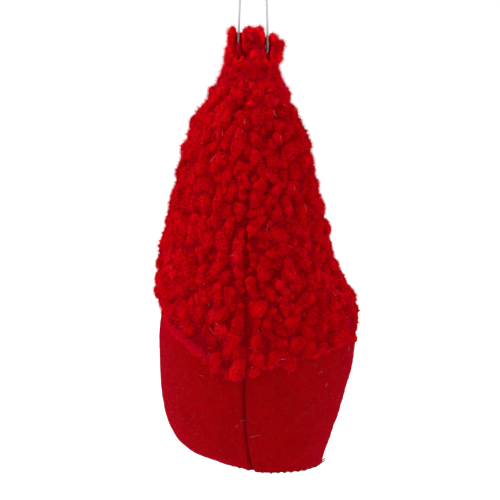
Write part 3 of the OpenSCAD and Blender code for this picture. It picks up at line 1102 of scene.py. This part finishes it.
# Hairs of the pile: how many, lengths, thicknesses, curl, how steeply they stand, rings
LOW_FUZZ = (9800, from_axis, (0.6, 1.3), (0.04, 0.06), 0.7, (0.15, 0.8), 3)
HIGH_FUZZ = (8400, from_axis, (0.65, 1.25), (0.035, 0.052), 0.7, (0.6, 2.0), 3)
HALO = (11000, from_axis, (0.9, 1.9), (0.03, 0.045), 0.7, (0.8, 2.5), 4)


def upwards(points):
    return unit(from_axis(points) + [0, 0, 0.7])


TIP_FUZZ = (17500, upwards, (0.6, 1.3), (0.04, 0.06), 0.9, (0.3, 1.6), 3)


def on_cloth(a, z):
    """Whether spots are clear of the seam's groove and of the uneven brim edge."""
    side = np.abs(seam_distance(a, z))
    groove = np.interp(z - BASE_Z, [84 * MM, 108 * MM], [1.1 * MM, 0.2 * MM])
    edge = (0.2 + 0.9 * lumps(hat.on(a, z), 7 * MM, 10)) * MM
    return (z > pile_brim(a) + edge) & (side > groove)


def off_brim(a, z):
    return on_cloth(a, z) & (z > pile_brim(a) + 3 * MM)


def spacing(a, z):
    """How far apart the face's curls lie, more so to the right of the seam."""
    right = np.clip(-seam_distance(a, z) / (6 * MM), 0, 1)
    return (FACE_GAP + 0.35 * right) * MM * large_low(z) * (1 + 0.12 * lumps(hat.on(a, z), 18 * MM, 8))


def close(a, z):
    return np.full(len(a), CLOSE_GAP)


def make_hat_pile(paint, shaded_deep_paint, lit_tip_paint, fibre_paint, rim_lit_halo_paint, lit_edge_paint):
    rng = np.random.default_rng(21)
    reach = (BASE_Z + 26 * MM, HINGE_Z - 2.2 * MM)
    layer = clumps(rng, *scatter(rng, *reach, spacing, FACE_TRIES, on_cloth), 1.0, 0.0)
    between = clumps(rng, *scatter(rng, *reach, close, CLOSE_TRIES, on_cloth), 0.62, 1.35, 0.8)
    under = clumps(rng, *scatter(rng, *reach, close, CLOSE_TRIES, off_brim), 0.7, 2.2, 0.5)
    tip = slimmer(clear_of_cord(tip_tufts(rng)), CORE)
    # the tip's curls take the lighter copy of the curl paint, as painted light
    add_piece("hat_tip_curls", *tip, lit_tip_paint, "pile_cloth")
    pile = slimmer(clear_of_cord(joined([layer, between])), CORE)
    under = clear_of_cord(under)
    # the sunk curls take the half-bright copy of the curl paint, as painted shade
    for name, mesh, look, wide in (("curls", pile, paint, 2), ("under_curls", under, shaded_deep_paint, 4)):
        for k in range(SECTORS // wide):
            part = tubes_of(mesh, CLUMP_POINTS, sector(k, wide))
            add_piece(f"hat_{name}_{k + 1}", *part, look, "pile_cloth")
    pile = joined([pile, tip])
    for k in range(SECTORS):
        part = tubes_of(pile, CLUMP_POINTS, sector(k))
        fuzz = joined([hairs_on(rng, part, *kind, CLUMP_POINTS) for kind in (LOW_FUZZ, HIGH_FUZZ)])
        add_piece(f"hat_fuzz_{k + 1}", *off_gaps(fuzz, 3), fibre_paint, "pile_cloth")
    for k in range(2):
        part = tubes_of(pile, CLUMP_POINTS, sector(k, 6))
        halo = off_gaps(hairs_on(rng, part, *HALO, CLUMP_POINTS), 4, 1.5 * MM)
        add_piece(f"hat_halo_{k + 1}", *halo, rim_lit_halo_paint, "pile_cloth")
    # the tip's hairs take the lighter fringe paint, as painted light
    tip_hairs = tubes_of(hairs_on(rng, tip, *TIP_FUZZ, CLUMP_POINTS), spike_points(3), off_slots())
    add_piece("hat_tip_fuzz", *tip_hairs, lit_edge_paint, "pile_cloth")
    add_piece("hat_tip_gap_hairs", *slot_hairs(rng), lit_edge_paint, "pile_cloth")


GAP_HAIRS = 2200


def slot_hairs(rng):
    """Hairs that meet across the two gaps where the cord's strands sweep past the tip."""
    meshes = []
    for way, (near_edge, far_edge) in SLOT.items():
        for edge, towards in ((near_edge - 0.15 * MM, 1), (far_edge + 0.15 * MM, -1)):
            y = rng.uniform(-4.2, 3.6, GAP_HAIRS)
            z = rng.uniform(-0.8, 7.2 if way > 0 else 6.0, GAP_HAIRS)
            shut = np.where(y > 0.1, 3.6 if way > 0 else 0.3, 9.0)
            fine = (z < shut) & (y * y + (z * 0.55) ** 2 < 4.2**2)
            y, z = y[fine], z[fine]
            count = len(y)
            root = np.stack([np.full(count, way * edge), y * MM, HINGE_Z + z * MM], axis=1)
            ways = unit(rng.normal(0, 0.4, (count, 3)) + [way * towards, 0, 0.15])
            size = rng.uniform(0.6, 1.2, count) * MM
            meshes.append(fibres(rng, root, ways, size, rng.uniform(0.05, 0.07, count) * MM, 3, 0.5))
    return joined(meshes)


FRINGE_HAIRS = 6500


def make_brim_fringe(paint):
    """Loose ends of the pile along the hat's cut brim, longest at its slanting side."""
    rng = np.random.default_rng(22)
    count = FRINGE_HAIRS
    spread = rng.uniform(0, TAU, count)
    slant = np.radians(rng.uniform(18, 58, count))
    a = np.where(rng.uniform(0, 1, count) < 0.2, slant, spread)
    long = np.interp(np.degrees(a), [8, 25, 50, 64], [0, 1, 1, 0])
    wave = 0.7 * lumps(hat.on(a, pile_brim(a)), 6 * MM, 26)
    z = pile_brim(a) + (rng.uniform(-0.1, 1.6, count) + wave + 2.4 * long * rng.uniform(0, 1, count)) * MM
    deep = -hat_depth(z) * (1 - long * rng.uniform(0.1, 1, count))
    root = hat.place(a, z, deep - rng.uniform(0, 0.6, count) * MM)
    lean = rng.normal(0, 0.8, (count, 3))
    out = hat.normal(a, z) * (rng.uniform(-0.1, 0.8, count) + 0.7 * long)[:, None]
    ways = unit(out + [0, 0, -1.0] + lean)
    size = rng.uniform(0.6, 1.6, count) * MM
    fringe = fibres(rng, root, ways, size, rng.uniform(0.035, 0.06, count) * MM, 4, 0.6)
    add_piece("hat_brim_fringe", *fringe, paint, "pile_cloth")


# Pale hairs that lie on the cloths: angle in degrees, height over the base, length, lean
STRAYS = [
    (52, 105.6, 3.2, 0.8), (30, 49.5, 3.6, -0.4), (33, 46, 2.6, 0.3), (70, 53, 3.0, -0.9),
    (68, 50, 3.4, -0.8), (71, 48, 2.4, -1.0), (88, 14, 3.4, 1.3), (24, 22, 2.8, 0.2), (118, 128, 2.6, 0.9),
    (150, 60, 2.6, -0.7), (140, 30, 2.6, 0.4), (100, 84, 2.6, 0.6), (128, 96, 2.4, -0.5),
    (80, 118, 2.6, 0.2), (158, 41, 2.4, 1.1),
]


def make_strays(name, skin, paint, low, high, count, seed):
    """Fine pale hairs caught on a cloth."""
    rng = np.random.default_rng(seed)
    degrees, heights, lengths, tilts = np.transpose([row for row in STRAYS if low < row[1] < high])
    a = np.concatenate([np.radians(degrees), rng.uniform(0, TAU, count)])
    z = BASE_Z + np.concatenate([heights, rng.uniform(low + 2, high - 6, count)]) * MM
    size = np.concatenate([lengths, rng.uniform(1.2, 2.8, count)]) * MM
    tilt = np.concatenate([tilts, rng.uniform(-1.5, 1.5, count)])
    fine = (z > pile_brim(a) + 3 * MM) | (skin is sack)
    a, z, size, tilt = a[fine], z[fine], size[fine], tilt[fine]
    out = skin.normal(a, z)
    east = unit(np.cross([0, 0, 1.0], out))
    up = np.cross(out, east)
    ways = unit(up * np.cos(tilt)[:, None] + east * np.sin(tilt)[:, None] + out * 0.12)
    proud = 0.12 * MM if skin is sack else 0.9 * MM
    thick = rng.uniform(0.02, 0.034, len(a)) * MM
    hairs = fibres(rng, skin.place(a, z, np.full(len(a), proud)), ways, size, thick, 7, 0.45)
    add_piece(name, *hairs, paint, "pile_cloth" if skin is hat else "felt")


# ---------------------------------------------------------------- sack

# The back seam: height over the base, distance towards +X
SACK_SEAM = [(0, 0.7), (4, 1.6), (10, 2.5), (18, 3.1), (28, 3.5), (45, 3.3)]
FELT = 1.2 * MM
# Columns of the sack's mesh all round, and those laid close together at its seam
SACK_COLUMNS = 280
SEAM_COLUMNS = 84
# Rows at the sack's top that the hat hides, which get no hairs
HIDDEN_ROWS = 55


def sack_seam_x(z):
    heights, x = np.transpose(SACK_SEAM) * MM
    return np.interp(z, BASE_Z + heights, x)


def sack_form(p):
    """How far the stuffed felt stands proud of its plain outline at points on it."""
    gap = p[:, 0] - sack_seam_x(p[:, 2])
    behind = (p[:, 1] > 0) * 1.0
    crease = 1.3 * MM * np.exp(-((gap / (0.5 * MM)) ** 2)) * behind
    lips = 0.35 * MM * np.exp(-(((np.abs(gap) - 1.6 * MM) / (1.1 * MM)) ** 2)) * behind
    dip = 0.8 * np.exp(-(((gap + 10 * MM) / (5.5 * MM)) ** 2))
    pull = (0.4 * np.exp(-((gap / (5 * MM)) ** 2)) + dip) * MM * behind
    soft = 0.3 * MM * lumps(p, 17 * MM, 31) + 0.07 * MM * lumps(p, 3 * MM, 32)
    side = np.clip((p[:, 0] - 8 * MM) / (16 * MM), 0, 1)
    low = np.exp(-(((p[:, 2] - BASE_Z - 9 * MM) / (13 * MM)) ** 2))
    full = (0.5 + 0.9 * low) * MM * side
    return lips + soft + full - crease - pull


def uplift(points):
    """The bottom's edge rides up a little on the +X side: points with their heights changed."""
    side = np.clip((points[:, 0] + 8 * MM) / (22 * MM), 0, 1)
    side = side * side * (3 - 2 * side)
    near = np.clip(1 - (points[:, 2] - BASE_Z) / (12 * MM), 0, 1) ** 1.3
    return points + np.stack([0 * side, 0 * side, (2.3 * side - 0.6) * MM * near], axis=1)


def make_sack(paint, fibre_paint):
    rng = np.random.default_rng(5)
    even = np.linspace(0, TAU, SACK_COLUMNS, endpoint=False)
    back = math.radians(86) + np.linspace(-0.16, 0.16, SEAM_COLUMNS)
    turns = np.unique(np.concatenate([even[(even < back[0]) | (even > back[-1])], back]))
    columns = len(turns)
    heights = BASE_Z + np.concatenate([np.linspace(0, 4, 14), np.linspace(4.4, 79, 118)]) * MM
    inner, outer = [], []
    for z in heights:
        zs = np.full(columns, z)
        p = sack.on(turns, zs)
        form = sack_form(p)
        outer.append(sack.place(turns, zs, form))
        deep = np.full(columns, max(z, BASE_Z + FELT))
        inner.append(sack.place(turns, deep, form - 1.1 * MM))
    points, quads, tris = shell(inner, outer)
    mesh = (uplift(points), quads, tris)
    piece = add_piece("felt_sack", *mesh, paint, "felt")
    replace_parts(piece, "body_shell")
    shown = mesh[1][len(heights) * columns : -HIDDEN_ROWS * columns]
    part = (mesh[0], shown, mesh[2])
    short = hairs_on(rng, part, 11300, from_axis, (0.4, 1.2), (0.016, 0.026), 1.0, (0.02, 0.25))
    long = hairs_on(rng, part, 700, from_axis, (0.7, 1.6), (0.014, 0.022), 0.8, (0.3, 1.2))
    add_piece("felt_fuzz", *joined([short, long]), fibre_paint, "felt")


# ---------------------------------------------------------------- bottom

base_middle, BASE_RADIUS = middle_and_radius("base_panel")
BASE_MIDDLE = base_middle[:2]
RIM_INSET = 0.7 * MM


def round_plate(profile, rough, seed, columns=160):
    """A round plate turned from a profile of (radius, height), with a slightly uneven face."""
    turn = np.arange(columns) * TAU / columns
    circle = [np.stack([r * np.cos(turn), r * np.sin(turn), z + 0 * turn], axis=1) for r, z in profile]
    points, quads, tris = turned([ring + [*BASE_MIDDLE, 0] for ring in circle])
    points[:, 2] += rough * lumps(points, 5 * MM, seed)
    return points, quads, tris


def plate_profile(radius, low, high, edge):
    """Profile of a plate with rounded edges, from the middle of its underside up."""
    inwards = np.linspace(0.04, 1, 26) * (radius - edge)
    corner = np.linspace(0, math.pi / 2, 6)
    under = [(r, low) for r in inwards]
    rim_low = [(radius - edge + edge * math.sin(c), low + edge * (1 - math.cos(c))) for c in corner[1:]]
    rim_high = [(radius - edge + edge * math.cos(c), high - edge * (1 - math.sin(c))) for c in corner]
    return under + rim_low + rim_high + [(r, high) for r in inwards[-2::-1]]


RIM_TURNS = np.linspace(0, TAU, 360, endpoint=False)


def sack_rim():
    """How far the sack's lowest edge is from the bottom's middle, all the way round."""
    low = np.full(len(RIM_TURNS), BASE_Z)
    edge = sack.place(RIM_TURNS, low, sack_form(sack.on(RIM_TURNS, low)))[:, :2] - BASE_MIDDLE
    angle = np.arctan2(edge[:, 1], edge[:, 0])
    order = np.argsort(angle)
    return np.interp(RIM_TURNS, angle[order] % TAU, np.hypot(*edge[order].T), period=TAU)


def to_rim(points, rim):
    """Points of a disc of BASE_RADIUS, stretched sideways until its edge meets the sack."""
    flat = points[:, :2] - BASE_MIDDLE
    angle = np.arctan2(flat[:, 1], flat[:, 0])
    grow = (np.interp(angle, RIM_TURNS, rim, period=TAU) - RIM_INSET) / BASE_RADIUS
    wide = np.maximum(grow, 1)[:, None] * flat + BASE_MIDDLE
    return uplift(np.concatenate([wide, points[:, 2:]], axis=1))


def make_bottom(paint, fibre_paint, thread_paint, card_paint):
    """The round felt bottom, the stitches round its edge and the card over it."""
    rng = np.random.default_rng(42)
    profile = plate_profile(BASE_RADIUS - 0.1 * MM, BASE_Z + 0.05 * MM, BASE_Z + FELT, 0.4 * MM)
    points, quads, tris = round_plate(profile, 0.05 * MM, 41)
    rim = sack_rim()
    disc = (to_rim(points, rim), quads, tris)
    panel = add_piece("base_felt", *disc, paint, "felt")
    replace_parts(panel, "base_panel")
    down = hairs_on(rng, disc, 1500, downwards, (0.5, 1.5), (0.018, 0.028), 1.0, (0.02, 0.3))
    add_piece("base_fuzz", *down, fibre_paint, "felt")
    points, quads, tris = rim_stitches(rng, 44)
    piece = add_piece("base_stitches", to_rim(points, rim), quads, tris, thread_paint, "thread")
    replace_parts(piece, "base_seam_thread")
    _, radius = middle_and_radius("base_stiffener")
    profile = plate_profile(radius, *heights_of("base_stiffener"), 0.15 * MM)
    points, quads, tris = round_plate(profile, 0.02 * MM, 43)
    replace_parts(add_piece("base_card", uplift(points), quads, tris, card_paint, "card"), "base_stiffener")


def downwards(points):
    return np.tile([0, 0, -1.0], (len(points), 1))


STITCH_RINGS = 9


def rim_stitches(rng, count):
    """Stitches that cross the bottom's edge, bowed downwards."""
    turn = (np.arange(count) + rng.uniform(-0.12, 0.12, count)) * TAU / count
    t = np.linspace(0, 1, STITCH_RINGS)
    inside = BASE_RADIUS - 1.5 * MM + rng.uniform(-0.2, 0.2, count) * MM
    reach = inside[:, None] + (3.1 * MM) * t
    skew = turn[:, None] + 0.05 * t
    bow = np.sin(t * math.pi)
    height = BASE_Z + 0.45 * MM - 0.5 * MM * bow + 0.5 * MM * np.clip(t - 0.6, 0, 1)
    x, y = BASE_MIDDLE[0] + reach * np.cos(skew), BASE_MIDDLE[1] + reach * np.sin(skew)
    paths = np.stack([x, y, height + 0 * reach], axis=-1)
    across = np.tile([0.0, 0.0, 1.0], (count, 1))
    return tubes(paths, np.full((count, STITCH_RINGS), 0.2 * MM), across, 8, 0.15, 0.9)


# ---------------------------------------------------------------- fillings, threads and glue


FILLING_COLUMNS = 160
FILLING_ROWS = 90


def make_filling(name, node, paint, seed, skin, inset):
    """Soft fibre filling that follows the inside of its cloth in lumps."""
    low, high = heights_of(node)
    turns = np.arange(FILLING_COLUMNS) * TAU / FILLING_COLUMNS
    rows = []
    for z in np.linspace(low, high, FILLING_ROWS):
        zs = np.full(FILLING_COLUMNS, z)
        p = skin.on(turns, zs)
        ends = min(z - low, high - z) / (9 * MM)
        round_off = 2.2 * MM * max(0.0, 1 - ends) ** 2
        deep = inset(turns, zs) + round_off
        deep = deep - 0.3 * MM * lumps(p, 7 * MM, seed) - 0.15 * MM * lumps(p, 2.5 * MM, seed + 1)
        rows.append(skin.place(turns, zs, -deep))
    piece = add_piece(name, *turned(rows), paint, "filling")
    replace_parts(piece, node)


def centre_line(node, count):
    """Middles of a thin upright CAD tube at even heights."""
    points = node_points(node)
    groups = np.array_split(points[np.argsort(points[:, 2])], count)
    line = np.array([g.mean(axis=0) for g in groups])
    return finer(line, 0.25 * MM)[0]


def make_seam_thread(name, node, paint, inwards):
    """A row of stitches along a seam, each a short bowed length of thread."""
    line = centre_line(node, 24)
    gap = 3
    starts = np.arange(0, len(line) - STITCH_RINGS, STITCH_RINGS + gap)
    paths = np.array([line[k : k + STITCH_RINGS] for k in starts])
    bow = np.sin(np.linspace(0, math.pi, STITCH_RINGS)) * 0.25 * MM
    paths[:, :, 1] += bow - inwards
    across = np.tile([1.0, 0.0, 0.0], (len(paths), 1))
    mesh = tubes(paths, np.full(paths.shape[:2], 0.22 * MM), across, 8, 0.15, 0.9)
    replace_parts(add_piece(name, *mesh, paint, "thread"), node)


def make_gather_thread(paint):
    """Three turns of thread round the sack's gathered neck."""
    middle, radius = middle_and_radius("body_gather_thread")
    wide = radius - 0.45 * MM
    t = np.linspace(0, 3 * TAU, 360)
    rise = (t / TAU - 1.5) * 0.3 * MM
    wobble = 0.12 * MM * np.sin(t * 2.3)
    line = np.stack([(wide + wobble) * np.cos(t), (wide + wobble) * np.sin(t), rise], axis=1) + middle
    mesh = ply_tube(line, 0.24 * MM, 1.2 * MM, 12)
    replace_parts(add_piece("neck_thread", *mesh, paint, "thread"), "body_gather_thread")


def recast(node, name, paint, low=None):
    """A CAD node's own shape, finely divided and slightly uneven, drawn up to low(angle) at its foot."""
    shape = frame["nodes"][node]
    made = put(name, shape.data.copy())
    made.matrix_world = shape.matrix_world.copy()
    fine = made.modifiers.new("fine", "SUBSURF")
    fine.subdivision_type = "SIMPLE"
    fine.levels = 2
    fine.render_levels = 2
    mesh = as_shown(made)
    made.modifiers.clear()
    made.data = mesh
    points = np.array([v.co for v in mesh.vertices])
    normals = np.array([v.normal for v in mesh.vertices])
    points += normals * (0.03 * MM * lumps(points, 1.5 * MM, 51))[:, None]
    if low:
        head = points[:, 2].max()
        a = angle_of(points)
        foot = brim_of(node)(a)
        new_foot = np.minimum(np.maximum(foot, low(a)), head - 1 * MM)
        points[:, 2] = head - (head - points[:, 2]) * (head - new_foot) / np.maximum(head - foot, 1 * MM)
        out = points[:, :2] - AXIS
        reach = np.linalg.norm(out, axis=1)
        most = hat.radius(a, points[:, 2]) - hat_depth(points[:, 2]) - 1.1 * MM
        points[:, :2] = AXIS + out * np.minimum(1, most / reach)[:, None]
    mesh.vertices.foreach_set("co", points.astype(np.float32).ravel())
    mesh.materials.clear()
    mesh.materials.append(paint)
    for face in mesh.polygons:
        face.use_smooth = True
    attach(made, GNOME)
    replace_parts(made, node)


# ---------------------------------------------------------------- beard and nose

# Half width of the beard as an angle at its share of the way down
BEARD_ANGLE = [(0, 44), (0.25, 43), (0.5, 38), (0.72, 28), (0.86, 18.5), (0.95, 10), (1.03, 4), (1.08, 2)]
BEARD_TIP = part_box("beard")[0][2]


def beard_top(a):
    """Height of the beard's upper edge: a little under the hat's brim."""
    return brim(a) - 1.4 * MM


class BeardForm:
    """The beard's back and front as distances from the figure's axis, by angle and height."""

    COLUMNS = 72
    ROWS = 70

    def __init__(self):
        shape = frame["nodes"]["beard"]
        self.angles = np.radians(np.linspace(222, 318, self.COLUMNS))
        self.heights = np.linspace(BEARD_TIP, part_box("beard")[1][2], self.ROWS)
        self.back = np.full((self.ROWS, self.COLUMNS), np.nan)
        self.front = self.back.copy()
        for j, a in enumerate(self.angles):
            way = Vector((math.cos(a), math.sin(a), 0))
            for i, z in enumerate(self.heights):
                middle = Vector((AXIS[0], AXIS[1], z))
                hit, near, _, _ = shape.ray_cast(middle, way, distance=RAY)
                far_hit, far, _, _ = shape.ray_cast(middle + way * RAY, -way, distance=RAY)
                if hit and far_hit:
                    self.back[i, j] = (near - middle).length
                    self.front[i, j] = (far - middle).length
        for field in (self.back, self.front):
            for row in field:
                known = ~np.isnan(row)
                if known.any():
                    row[:] = np.interp(self.angles, self.angles[known], row[known])
            for column in field.T:
                known = ~np.isnan(column)
                column[:] = np.interp(self.heights, self.heights[known], column[known])

    def sample(self, field, a, z):
        x = np.interp(a % TAU, self.angles, np.arange(self.COLUMNS))
        y = np.interp(z, self.heights, np.arange(self.ROWS))
        i = np.minimum(y.astype(int), self.ROWS - 2)
        j = np.minimum(x.astype(int), self.COLUMNS - 2)
        f, g = x - j, y - i
        low = field[i, j] * (1 - f) + field[i, j + 1] * f
        high = field[i + 1, j] * (1 - f) + field[i + 1, j + 1] * f
        return low * (1 - g) + high * g

    def at(self, t, u, out):
        """A point at share t of the way down, u from -1 to 1 across, out from back to front."""
        a = math.radians(270) + u * np.radians(np.interp(t, *np.transpose(BEARD_ANGLE)))
        top = beard_top(a)
        point = BEARD_TIP - 1 * MM
        z = top + (point - top) * t
        back = self.sample(self.back, a, z)
        front = self.sample(self.front, a, z)
        r = back + (front - back) * out
        return np.stack([AXIS[0] + r * np.cos(a), AXIS[1] + r * np.sin(a), z], axis=-1)


def make_beard_backing(form, paint):
    """The knitted cloth that the beard's pile grows from."""
    columns, rows = 60, 70
    u = np.linspace(-0.97, 0.97, columns)
    layers = []
    for out in (0.0, 0.55 * MM):
        for t in np.linspace(0.01, 0.88, rows):
            base = form.at(np.full(columns, t), u, np.zeros(columns))
            push = from_axis(base) * (out + 0.08 * MM * lumps(base, 4 * MM, 61))[:, None]
            layers.append(base + push)
    points = np.concatenate(layers)
    sheet = rows * columns
    cell = grid_faces(rows, columns, around=False)
    number = np.arange(sheet).reshape(rows, columns)
    rim = np.concatenate([number[0], number[1:, -1], number[-1, -2::-1], number[-2:0:-1, 0]])
    after = np.roll(rim, -1)
    edge = np.stack([rim, rim + sheet, after + sheet, after], axis=-1)
    quads = np.concatenate([cell, cell[:, ::-1] + sheet, edge])
    piece = add_piece("beard_backing", points, quads, [], paint, "beard_pile")
    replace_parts(piece, "beard")


def make_beard_hair(form, paint):
    """Locks of long pile that flow down from the backing and close in towards the point."""
    rng = np.random.default_rng(62)
    locks, each, rings = 380, 17, 11
    t0 = np.maximum(rng.uniform(-0.16, 0.84, locks), -0.02)
    u0 = rng.uniform(-0.95, 0.95, locks)
    run = rng.uniform(0.2, 0.42, locks)
    layer = rng.uniform(0.25, 1.0, locks)
    wave = rng.uniform(0.6, 1.7, locks) * MM
    phase = rng.uniform(0, TAU, locks)
    turns = rng.uniform(1.0, 2.2, locks)
    s = np.linspace(0, 1, rings)
    which = np.repeat(np.arange(locks), each)
    n = len(which)
    spin = rng.uniform(0, TAU, n)
    off = np.sqrt(rng.uniform(0, 1, n)) * 1.25 * MM
    free_end = t0[which] + run[which] * rng.uniform(0.8, 1.05, n)
    end = np.minimum(free_end, np.clip(rng.normal(0.95, 0.055, n), 0.86, 1.08))
    t = np.maximum(t0[which, None] + (end - t0[which])[:, None] * s, 0.0)
    wide = np.interp(t, *np.transpose(BEARD_ANGLE))
    arc = np.radians(wide) * 30 * MM
    tight = 1 - 0.75 * s**1.4
    side = wave[which, None] * np.sin(phase[which, None] + turns[which, None] * TAU * s * 0.6) * s
    side = side + (off * np.cos(spin))[:, None] * tight
    u = u0[which, None] + side / arc
    swell = np.sin(np.clip(s * 2.4, 0, math.pi / 2))
    out = 0.06 + layer[which, None] * swell + (off * np.sin(spin))[:, None] / (6 * MM) * tight
    out = out + 0.1 * np.sin(phase[which, None] * 2 + s * 5) * s
    flat = (t.ravel(), u.ravel(), out.ravel())
    paths = form.at(*flat).reshape(n, rings, 3)
    radii = rng.uniform(0.1, 0.17, n)[:, None] * MM * (1 - 0.75 * s**1.6)
    across = np.tile([1.0, 0.0, 0.0], (n, 1))
    points, quads, tris = tubes(paths, radii, across, 4)
    per = 2 + rings * 4
    middles = paths.mean(axis=1)[:, 0]
    cuts = np.quantile(middles, [0, 1 / 3, 2 / 3, 1])
    for k, name in enumerate(("right", "middle", "left")):
        low, high = cuts[k], cuts[k + 1] + (k == 2)
        part = tubes_of((points, quads, tris), per, lambda m: (m[:, 0] >= low) & (m[:, 0] < high))
        add_piece("beard_hair_" + name, *part, paint, "beard_pile")


def make_nose(paint):
    """A turned wooden ball."""
    middle, radius = middle_and_radius("nose_bead")
    rows, columns = 72, 128
    tilt = np.linspace(0, math.pi, rows + 2)[1:-1]
    turn = np.arange(columns) * TAU / columns
    rings = [
        np.stack([np.sin(v) * np.cos(turn), np.sin(v) * np.sin(turn), np.full(columns, -np.cos(v))], axis=1)
        for v in tilt
    ]
    ball, quads, tris = turned(rings)
    ball[-2:] = [[0, 0, -1.0], [0, 0, 1.0]]
    ball = ball * (radius + 0.03 * MM * lumps(ball * radius, 6 * MM, 71))[:, None] + middle
    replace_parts(add_piece("nose_ball", ball, quads, tris, paint, "nose_wood"), "nose_bead")


# ---------------------------------------------------------------- build

make_camera()
make_studio()
cord_look = cord_paint()
make_loop(cord_look)
make_knot(cord_look)

brim = brim_of("hat_shell")
hat = Skin("hat_shell", BASE_Z + 28 * MM, TIP_Z - 0.4 * MM, floor=brim)
sack = Skin("body_shell", BASE_Z + 0.05 * MM, BASE_Z + 83 * MM)
make_hat_backing(backing_paint())
fringe = lit_fringe_paint()
# one curl paint in three brightnesses: full for the face, half as painted shade for the sunk curls, one and a
# half as painted light for the tip
curl_looks = [curl_paint(*look) for look in (("curl", 1.0), ("deep_curl", 0.5), ("tip_curl", 1.5))]
make_hat_pile(*curl_looks, fibre_paint(), rim_lit_halo_paint(), fringe)
make_brim_fringe(fringe)
stray = stray_paint()
make_strays("hat_stray_hairs", hat, stray, 36, 146, 26, 24)
felt_look = felt_paint()
felt_down = felt_fibre_paint()
make_sack(felt_look, felt_down)
make_strays("felt_stray_hairs", sack, stray, 1, 50, 10, 25)
thread_look = cloth_paint("thread", (0.09, 0.0004, 0.003), (0.2, 0.001, 0.008), 0.2 * MM)
card_look = cloth_paint("card", (0.42, 0.3, 0.18), (0.55, 0.42, 0.28), 0.5 * MM)
make_bottom(felt_look, felt_down, thread_look, card_look)

filling_look = cloth_paint("filling", (0.7, 0.7, 0.68), (0.9, 0.9, 0.88), 0.6 * MM)


def under_felt(turns, z):
    """How deep the sack's filling lies: deeper behind the seam and at the gathered neck."""
    gap = sack.on(turns, z)[:, 0] - sack_seam_x(z)
    behind = np.sin(turns) > 0
    return 2.0 * MM + 1.2 * MM * np.exp(-((gap / (2 * MM)) ** 2)) * behind + 0.6 * MM * (z > BASE_Z + 66 * MM)


def under_pile(turns, z):
    """How deep the hat's filling lies, below the pile and its backing."""
    return np.full(len(turns), 3.9 * MM)


make_filling("sack_filling", "body_stuffing", filling_look, 81, sack, under_felt)
make_filling("hat_filling", "hat_stuffing", filling_look, 83, hat, under_pile)
make_seam_thread("hat_seam_stitches", "hat_seam_thread", thread_look, 0.3 * MM)
make_seam_thread("sack_seam_stitches", "body_seam_thread", thread_look, 0.9 * MM)
make_gather_thread(thread_look)

glue_look = glue_paint()
recast("hat_glue", "hat_glue_set", glue_look, low=lambda a: pile_brim(a) + 4 * MM)
for node in ("beard_glue", "nose_glue"):
    recast(node, node + "_set", glue_look)

beard_form = BeardForm()
make_beard_backing(beard_form, cloth_paint("beard_backing", (0.62, 0.58, 0.5), (0.8, 0.77, 0.7), 0.6 * MM))
make_beard_hair(beard_form, beard_paint())
make_nose(wood_paint())

floor_mesh = bpy.data.meshes.new("floor")
half = 6.0
level = BASE_Z - 0.07
corners = [(-half, -half, level), (half, -half, level), (half, half, level), (-half, half, level)]
floor_mesh.from_pydata(corners, [], [(0, 1, 2, 3)])
floor = put("floor", floor_mesh)
pale = Paint("floor", Roughness=0.9)
pale.colour(pale.ramp(pale.noise(0.4), (0.3, (0.97, 0.97, 0.97)), (0.7, (0.985, 0.985, 0.985))))
floor_mesh.materials.append(pale.material)
